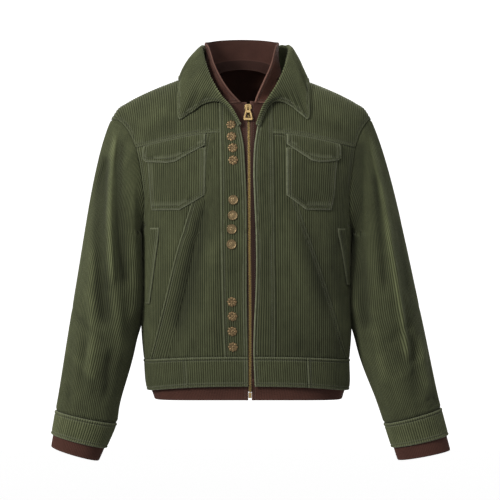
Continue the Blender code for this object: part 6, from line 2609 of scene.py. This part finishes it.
@dataclass
class Solids:
    """Small repeated solids gathered into one mesh."""

    name: str
    points: list[Array] = field(default_factory=list)
    faces: list[tuple[int, ...]] = field(default_factory=list)
    count: int = 0

    def add(self, points: Array, faces: Sequence[Sequence[int]]) -> None:
        """Adds one solid.

        Args:
            points: Its points, in millimetres.
            faces: Their numbers, face by face.
        """
        self.faces += [tuple(self.count + i for i in face) for face in faces]
        self.points.append(points)
        self.count += len(points)

    def build(self, material: bpy.types.Material) -> bpy.types.Object:
        """Makes the object.

        Args:
            material: Its finish.

        Returns:
            The object, smooth but for its sharp edges.
        """
        obj = place(self.name, np.concatenate(self.points) * MM, self.faces, material)
        obj.data.set_sharp_from_angle(angle=math.radians(SHARP))
        return obj


def tube_faces(rings: int, sides: int) -> list[tuple[int, ...]]:
    """Makes the faces of a closed tube of rings with a flat cap at each end."""
    grid = np.arange(rings * sides).reshape(rings, sides)
    return [*quads(closed(grid)), tuple(reversed(range(sides))), tuple(grid[-1].tolist())]


@dataclass(frozen=True)
class Sewing:
    """Topstitching: one short thread for each stitch, bowed into the cloth."""

    length: float = 3.0
    space: float = 0.9
    radius: float = 0.32
    sides: int = 5

    def sew(self, name: str, seams: Sequence[tuple[Array, Array]]) -> Solids | None:
        """Sews lines of stitches.

        Args:
            name: The object's name.
            seams: Lines of points with their outward directions.

        Returns:
            The stitches, or None if there is no line.
        """
        solids = Solids(name)
        faces = tube_faces(len(STITCH), self.sides)
        share, high, thick = STITCH.T
        turn = np.arange(self.sides) / self.sides * 2 * math.pi
        for line, out in seams:
            run = np.concatenate([[0], np.cumsum(np.linalg.norm(np.diff(line, axis=0), axis=1))])
            keep = np.concatenate([[True], np.diff(run) > 1e-6])
            run, line, out = run[keep], line[keep], out[keep]
            count = int((run[-1] - self.space) / (self.length + self.space))
            for k in range(count):
                start = self.space + k * (self.length + self.space)
                at = start + self.length * share
                path = np.stack([np.interp(at, run, line[:, i]) for i in range(3)], axis=1)
                up = unit(np.stack([np.interp(at, run, out[:, i]) for i in range(3)], axis=1))
                path = path + up * high[:, None]
                along = unit(path[-1] - path[0])
                across = unit(np.cross(along, up))
                width = self.radius * thick[:, None, None]
                ring = across[:, None] * np.cos(turn)[:, None] + up[:, None] * np.sin(turn)[:, None]
                solids.add((path[:, None] + ring * width).reshape(-1, 3), faces)
        return solids if solids.points else None


@dataclass(frozen=True)
class ZipChain:
    """The closed chain: two rows of teeth that mesh, on a cord at each side."""

    trunk: TrunkForm
    top: float = -59.5
    bottom: float = -570.5
    pitch: float = 3.1
    depth: float = 2.4
    out: float = -2.2
    narrow: float = 0.82

    def frames(self) -> tuple[Array, Array, Array, Array]:
        """Spaces the teeth evenly down the zip.

        Returns:
            Their middles, half a pitch apart, and the ways along, across and out of the chain there.
        """
        z = np.linspace(self.bottom, self.top, 400)
        run = run_length(self.trunk.point(*self.spots(z))[:, None], 0)[:, 0]
        count = int(run[-1] / (self.pitch / 2))
        spots = self.spots(np.interp((np.arange(count) + 0.5) * self.pitch / 2, run, z))
        out = self.trunk.normal(*spots)
        middle = self.trunk.point(*spots) + out * (self.out - self.depth / 2)
        along = unit(np.gradient(middle, axis=0))
        return middle, along, unit(np.cross(along, out)), out

    def spots(self, z: Array) -> tuple[Array, Array]:
        """The turn and level on the zip's line at heights."""
        share, level = self.trunk.spot(ZIP_LINE(z), z)
        return self.trunk.turn(share), level

    def build(self) -> tuple[Solids, Solids]:
        """Makes the chain.

        Returns:
            The teeth, and the brown tapes behind them.
        """
        middle, along, across, out = self.frames()
        teeth, tape = Solids("zip_teeth"), Solids("zip_tape")
        wide, high = TOOTH_RING[:, :1], TOOTH_RING[:, 1:]
        faces = tube_faces(len(TOOTH), len(TOOTH_RING))
        for k, spot in enumerate(middle):
            way = across[k] * (1 if k % 2 else -1)
            teeth.add(np.concatenate([
                spot + way * reach + along[k] * (wide * half * self.narrow) + out[k] * (high * deep)
                for reach, half, deep in TOOTH
            ]), faces)
        for side in (-1, 1):
            edge = [middle + across * side * reach - out * deep for reach, deep in TAPE]
            tape.add(np.stack(edge, axis=1).reshape(-1, 3), tube_faces(len(middle), len(edge)))
        return teeth, tape


class ButtonPlace(NamedTuple):
    """A button: its place, and whether it is a flower."""

    x: float
    height: float
    flower: bool


BUTTONS = tuple(ButtonPlace(*row) for row in (
    (-34.0, -89.0, True), (-33.2, -110.7, True), (-31.0, -131.2, True), (-30.1, -153.6, True),
    (-29.9, -225.0, False), (-30.8, -252.7, False), (-32.5, -277.4, False), (-33.0, -304.5, False),
    (-32.2, -407.3, True), (-31.3, -433.0, True), (-31.6, -460.0, True), (-30.5, -488.0, True),
))


@dataclass(frozen=True)
class Button:
    """A cast metal button: an open flower, or a disc with a raised rim and a ring of beads."""

    flower: bool
    radius: float = 9.0
    petals: int = 8
    turns: int = 80
    rings: int = 17

    def lobe(self, angle: Array) -> Array:
        """How far into a petal an angle is: 1 on its middle, 0 between two."""
        return np.abs(np.cos(angle * self.petals / 2))

    def outline(self, angle: Array) -> Array:
        """The radius at an angle."""
        share = 0.79 + 0.21 * self.lobe(angle) ** 0.55 if self.flower else np.ones(angle.shape)
        return self.radius * share

    def face(self, angle: Array, share: Array) -> Array:
        """Shapes the face.

        Args:
            angle: Angles.
            share: Shares of the radius.

        Returns:
            How high the face stands over the disc's back.
        """
        if self.flower:
            swell = np.sin(math.pi * np.clip((share - 0.24) / 0.76, 0, 1)) ** 0.7
            petal = 0.95 * self.lobe(angle) ** 0.6 * swell
            vein = 0.28 * bell(np.sin(angle * self.petals / 2), 0.1) * (share > 0.34) * (share < 0.86)
            heart = 1.0 * np.sqrt(np.clip(1 - (share / 0.25) ** 2, 0, 1))
            beads = 0.22 * np.cos(9 * angle) * bell(share - 0.17, 0.05)
            return 1.25 + petal - vein + heart + beads
        rim, ring = 1.0 * bell(share - 0.88, 0.09), 0.35 * bell(share - 0.62, 0.05)
        beads = 0.5 * np.maximum(np.cos(16 * angle), 0) * bell(share - 0.74, 0.05)
        dome = 0.55 * np.clip(1 - (share / 0.56) ** 2, 0, 1)
        leaf = 0.3 * np.maximum(np.cos(5 * angle), 0) * np.sin(math.pi * np.clip(share / 0.56, 0, 1)) ** 2
        return 1.4 + rim + ring + beads + dome + leaf

    def build(self, name: str, frame: Matrix, material: bpy.types.Material) -> bpy.types.Object:
        """Makes the button in a frame on the cloth.

        Args:
            name: Its name.
            frame: Across, up and out of the cloth, in metres.
            material: Its finish.

        Returns:
            The object.
        """
        angle, rows = np.linspace(0, 2 * math.pi, self.turns, endpoint=False), []
        for share in np.linspace(0, 1, self.rings + 1)[1:] ** 0.9:
            rounded = 0.55 * max(0.0, (share - 0.93) / 0.07) ** 2
            rows.append((share, self.face(angle, np.full(angle.shape, share)) - rounded))
        rows += [(1.0, 0.7), (0.97, 0.3), (0.6, 0.3)]  # round the rim and in under the back
        x, y = (way(angle) * self.outline(angle) for way in (np.cos, np.sin))
        points = [np.stack(np.broadcast_arrays(x * share, y * share, high), 1) for share, high in rows]
        points.append([[0, 0, float(self.face(np.array(0.0), np.array(0.0)))]])
        grid = np.arange(len(rows) * self.turns).reshape(len(rows), self.turns)
        faces = quads(closed(grid)) + [(grid.size, (k + 1) % self.turns, k) for k in range(self.turns)]
        obj = place(name, np.vstack(points) * MM, [*faces, tuple(grid[-1].tolist())], material)
        made = bmesh.new()
        made.from_mesh(obj.data)
        bmesh.ops.recalc_face_normals(made, faces=made.faces)
        made.to_mesh(obj.data)
        made.free()
        obj.data.transform(frame)
        obj.data.shade_smooth()
        return obj


# ---------------------------------------------------------------- studio


class Lamp(NamedTuple):
    """A soft square lamp that faces the jacket: its place and the length of its side in metres, its watts."""

    name: str
    place: tuple[float, float, float]
    size: float
    power: float


LAMPS = (
    Lamp("key", (-2.4, -2.4, 1.25), 1.0, 114.0),
    Lamp("high", (0.3, -1.5, 2.1), 0.9, 14.0),
    Lamp("fill", (2.4, -2.2, 0.3), 1.8, 3.0),
    Lamp("top", (0.1, 0.3, 2.2), 1.6, 20.0),
    Lamp("back", (0.8, 2.9, 1.3), 1.4, 60.0),
)


@dataclass(frozen=True)
class Studio:
    """A pale sweep, soft lamps and the camera."""

    middle: Vector = field(default_factory=lambda: Vector((0, 0, -0.3145)))
    distance: float = 3.5
    span: float = 0.925
    floor: float = -1.15
    reach: float = 7.0
    bend: float = 2.5
    wall: float = 8.0
    turns: int = 96
    glow: float = 0.96
    air: float = 0.2

    def bowl(self) -> bpy.types.Object:
        """Makes the floor, curved up into a wall all round.

        Returns:
            The object.
        """
        bend = np.linspace(0, math.pi / 2, 13)
        reach = np.append(self.reach - self.bend + self.bend * np.sin(bend), self.reach)[:, None]
        high = self.floor + np.append(self.bend - self.bend * np.cos(bend), self.wall)[:, None]
        turn = np.arange(self.turns) * 2 * math.pi / self.turns
        points = np.stack(np.broadcast_arrays(reach * np.cos(turn), reach * np.sin(turn), high), 2)
        faces = quads(closed(np.arange(high.size * self.turns).reshape(high.size, self.turns)))
        paper = PaperFinish("pale_paper", self.glow).make()
        obj = place("bowl", points.reshape(-1, 3), [*faces, tuple(range(self.turns))], paper)
        obj.visible_diffuse = obj.visible_shadow = False
        return obj

    def hang(self, lamp: Lamp) -> None:
        """Puts a lamp in its place.

        Args:
            lamp: Its sizes.
        """
        light = bpy.data.lights.new(lamp.name, "AREA")
        light.shape, light.size, light.energy = "SQUARE", lamp.size, lamp.power
        obj = bpy.data.objects.new(lamp.name, light)
        obj.location = lamp.place
        obj.rotation_euler = (self.middle - obj.location).to_track_quat("-Z", "Y").to_euler()
        bpy.context.scene.collection.objects.link(obj)

    def build(self) -> None:
        """Makes the sweep, the lamps, the world's light and the camera."""
        self.bowl()
        for lamp in LAMPS:
            self.hang(lamp)
        world = bpy.data.worlds.new("studio")
        world.use_nodes = True
        background = world.node_tree.nodes["Background"]
        background.inputs["Color"].default_value = (1, 1, 1, 1)
        background.inputs["Strength"].default_value = self.air
        scene = bpy.context.scene
        scene.world = world
        scene.view_settings.view_transform = "Standard"
        camera = bpy.data.cameras.new("camera")
        camera.sensor_width = 36
        camera.lens = camera.sensor_width * self.distance / self.span
        obj = bpy.data.objects.new("camera", camera)
        obj.location = self.middle - Vector((0, self.distance, 0))
        obj.rotation_euler = (math.pi / 2, 0, 0)
        scene.collection.objects.link(obj)
        scene.camera = obj


# ---------------------------------------------------------------- the jacket


@dataclass
class Jacket:
    """Dresses the construction solids."""

    materials: dict[Material, bpy.types.Material] = field(default_factory=dict)
    trunk: TrunkForm = field(default_factory=TrunkForm)

    def material(self, kind: Material) -> bpy.types.Material:
        """Finds the finish's material, made once.

        Args:
            kind: The finish.

        Returns:
            The material.
        """
        if kind not in self.materials:
            self.materials[kind] = kind.value.make()
        return self.materials[kind]

    def settle(self, obj: bpy.types.Object, kind: Material, *nodes: str) -> bpy.types.Object:
        """Puts a piece on the jacket's body in place of its solids.

        Args:
            obj: The piece.
            kind: Its finish; not used.
            nodes: The solids that it replaces.

        Returns:
            The piece.
        """
        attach(obj, BODY)
        if nodes:
            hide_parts(*nodes)
        return obj

    def dress(self, cloth: Cloth, kind: Material, thread: Material) -> None:
        """Makes a piece of cloth and its stitches, and logs its size laid flat.

        Args:
            cloth: The piece, named as its solid.
            kind: Its finish.
            thread: Its thread.
        """
        node, cloth.name = cloth.name, f"{cloth.name}_cloth"
        obj = self.settle(cloth.build(self.material(kind)), kind, node)
        sewn = Sewing().sew(f"{node}_stitches", cloth.seams)
        if sewn:
            self.settle(sewn.build(self.material(thread)), thread).name
        width, length = (round(side * MM, 4) for side in cloth.flat)
        LOG.info("%s: %d faces, %.0f x %.0f mm, %d stitch lines", node, len(cloth.faces), width / MM,
                 length / MM, len(cloth.seams))

    def cloths(self) -> list[tuple[Cloth, Material, Material]]:
        """Lays every piece of cloth.

        Returns:
            Each with its finish and its thread.
        """
        cut = Cut(self.trunk)
        tailor = Tailor(self.trunk, cut)
        shell, inner = Shell(tailor, cut), InnerLayer(tailor, cut)
        olive, brown = [], []
        for side in Side:
            olive += [shell.placket(side), shell.centre_front(side), shell.side_front(side), shell.yoke(side),
                      shell.chest_pocket(side), shell.pocket_flap(side), shell.welt(side)]
            brown.append(inner.inner_front(side))
            sleeve, cuff, inner_cuff = Sleeve(SleeveForm(self.trunk, side)).pieces()
            olive += [sleeve, cuff]
            brown.append(inner_cuff)
        collars = Collars(self.trunk)
        olive += [shell.back(), *shell.waistband(), collars.outer()]
        brown += [inner.hem_rib(), inner.neck_facing(), collars.inner()]
        made = [(cloth, Material.CORDUROY, Material.OLIVE_THREAD) for cloth in olive]
        return made + [(cloth, Material.BROWN, Material.BROWN_THREAD) for cloth in brown]

    def trims(self, nodes: dict[str, bpy.types.Object]) -> None:
        """Makes the zip and the buttons.

        Args:
            nodes: The CAD nodes by name.
        """
        teeth, tape = ZipChain(self.trunk).build()
        self.settle(teeth.build(self.material(Material.CHAIN)), Material.CHAIN, "zip_chain")
        self.settle(tape.build(self.material(Material.BROWN_THREAD)), Material.BROWN_THREAD)
        LOG.info("zip: %d faces", len(teeth.faces))
        for name in ("zip_slider", "zip_pull", "zip_stop"):
            mesh = nodes[name].data
            mesh.materials.clear()
            mesh.materials.append(self.material(Material.ZIP))
        for number, place in enumerate(BUTTONS, 1):
            kind = Material.FLOWER if place.flower else Material.DISC
            frame = self.trunk.frame(place.x, place.height, 0.9)
            obj = Button(place.flower).build(f"button_{number}_cast", frame, self.material(kind))
            self.settle(obj, kind, f"button_{number}")
            LOG.info("button_%d", number)


def main() -> None:
    """Dresses the jacket and lights it."""
    logging.basicConfig(level=logging.INFO, format="%(name)s: %(message)s")
    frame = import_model()
    jacket = Jacket()
    for cloth, kind, thread in jacket.cloths():
        jacket.dress(cloth, kind, thread)
    jacket.trims(frame["nodes"])
    Studio().build()


if __name__ == "__main__":
    main()
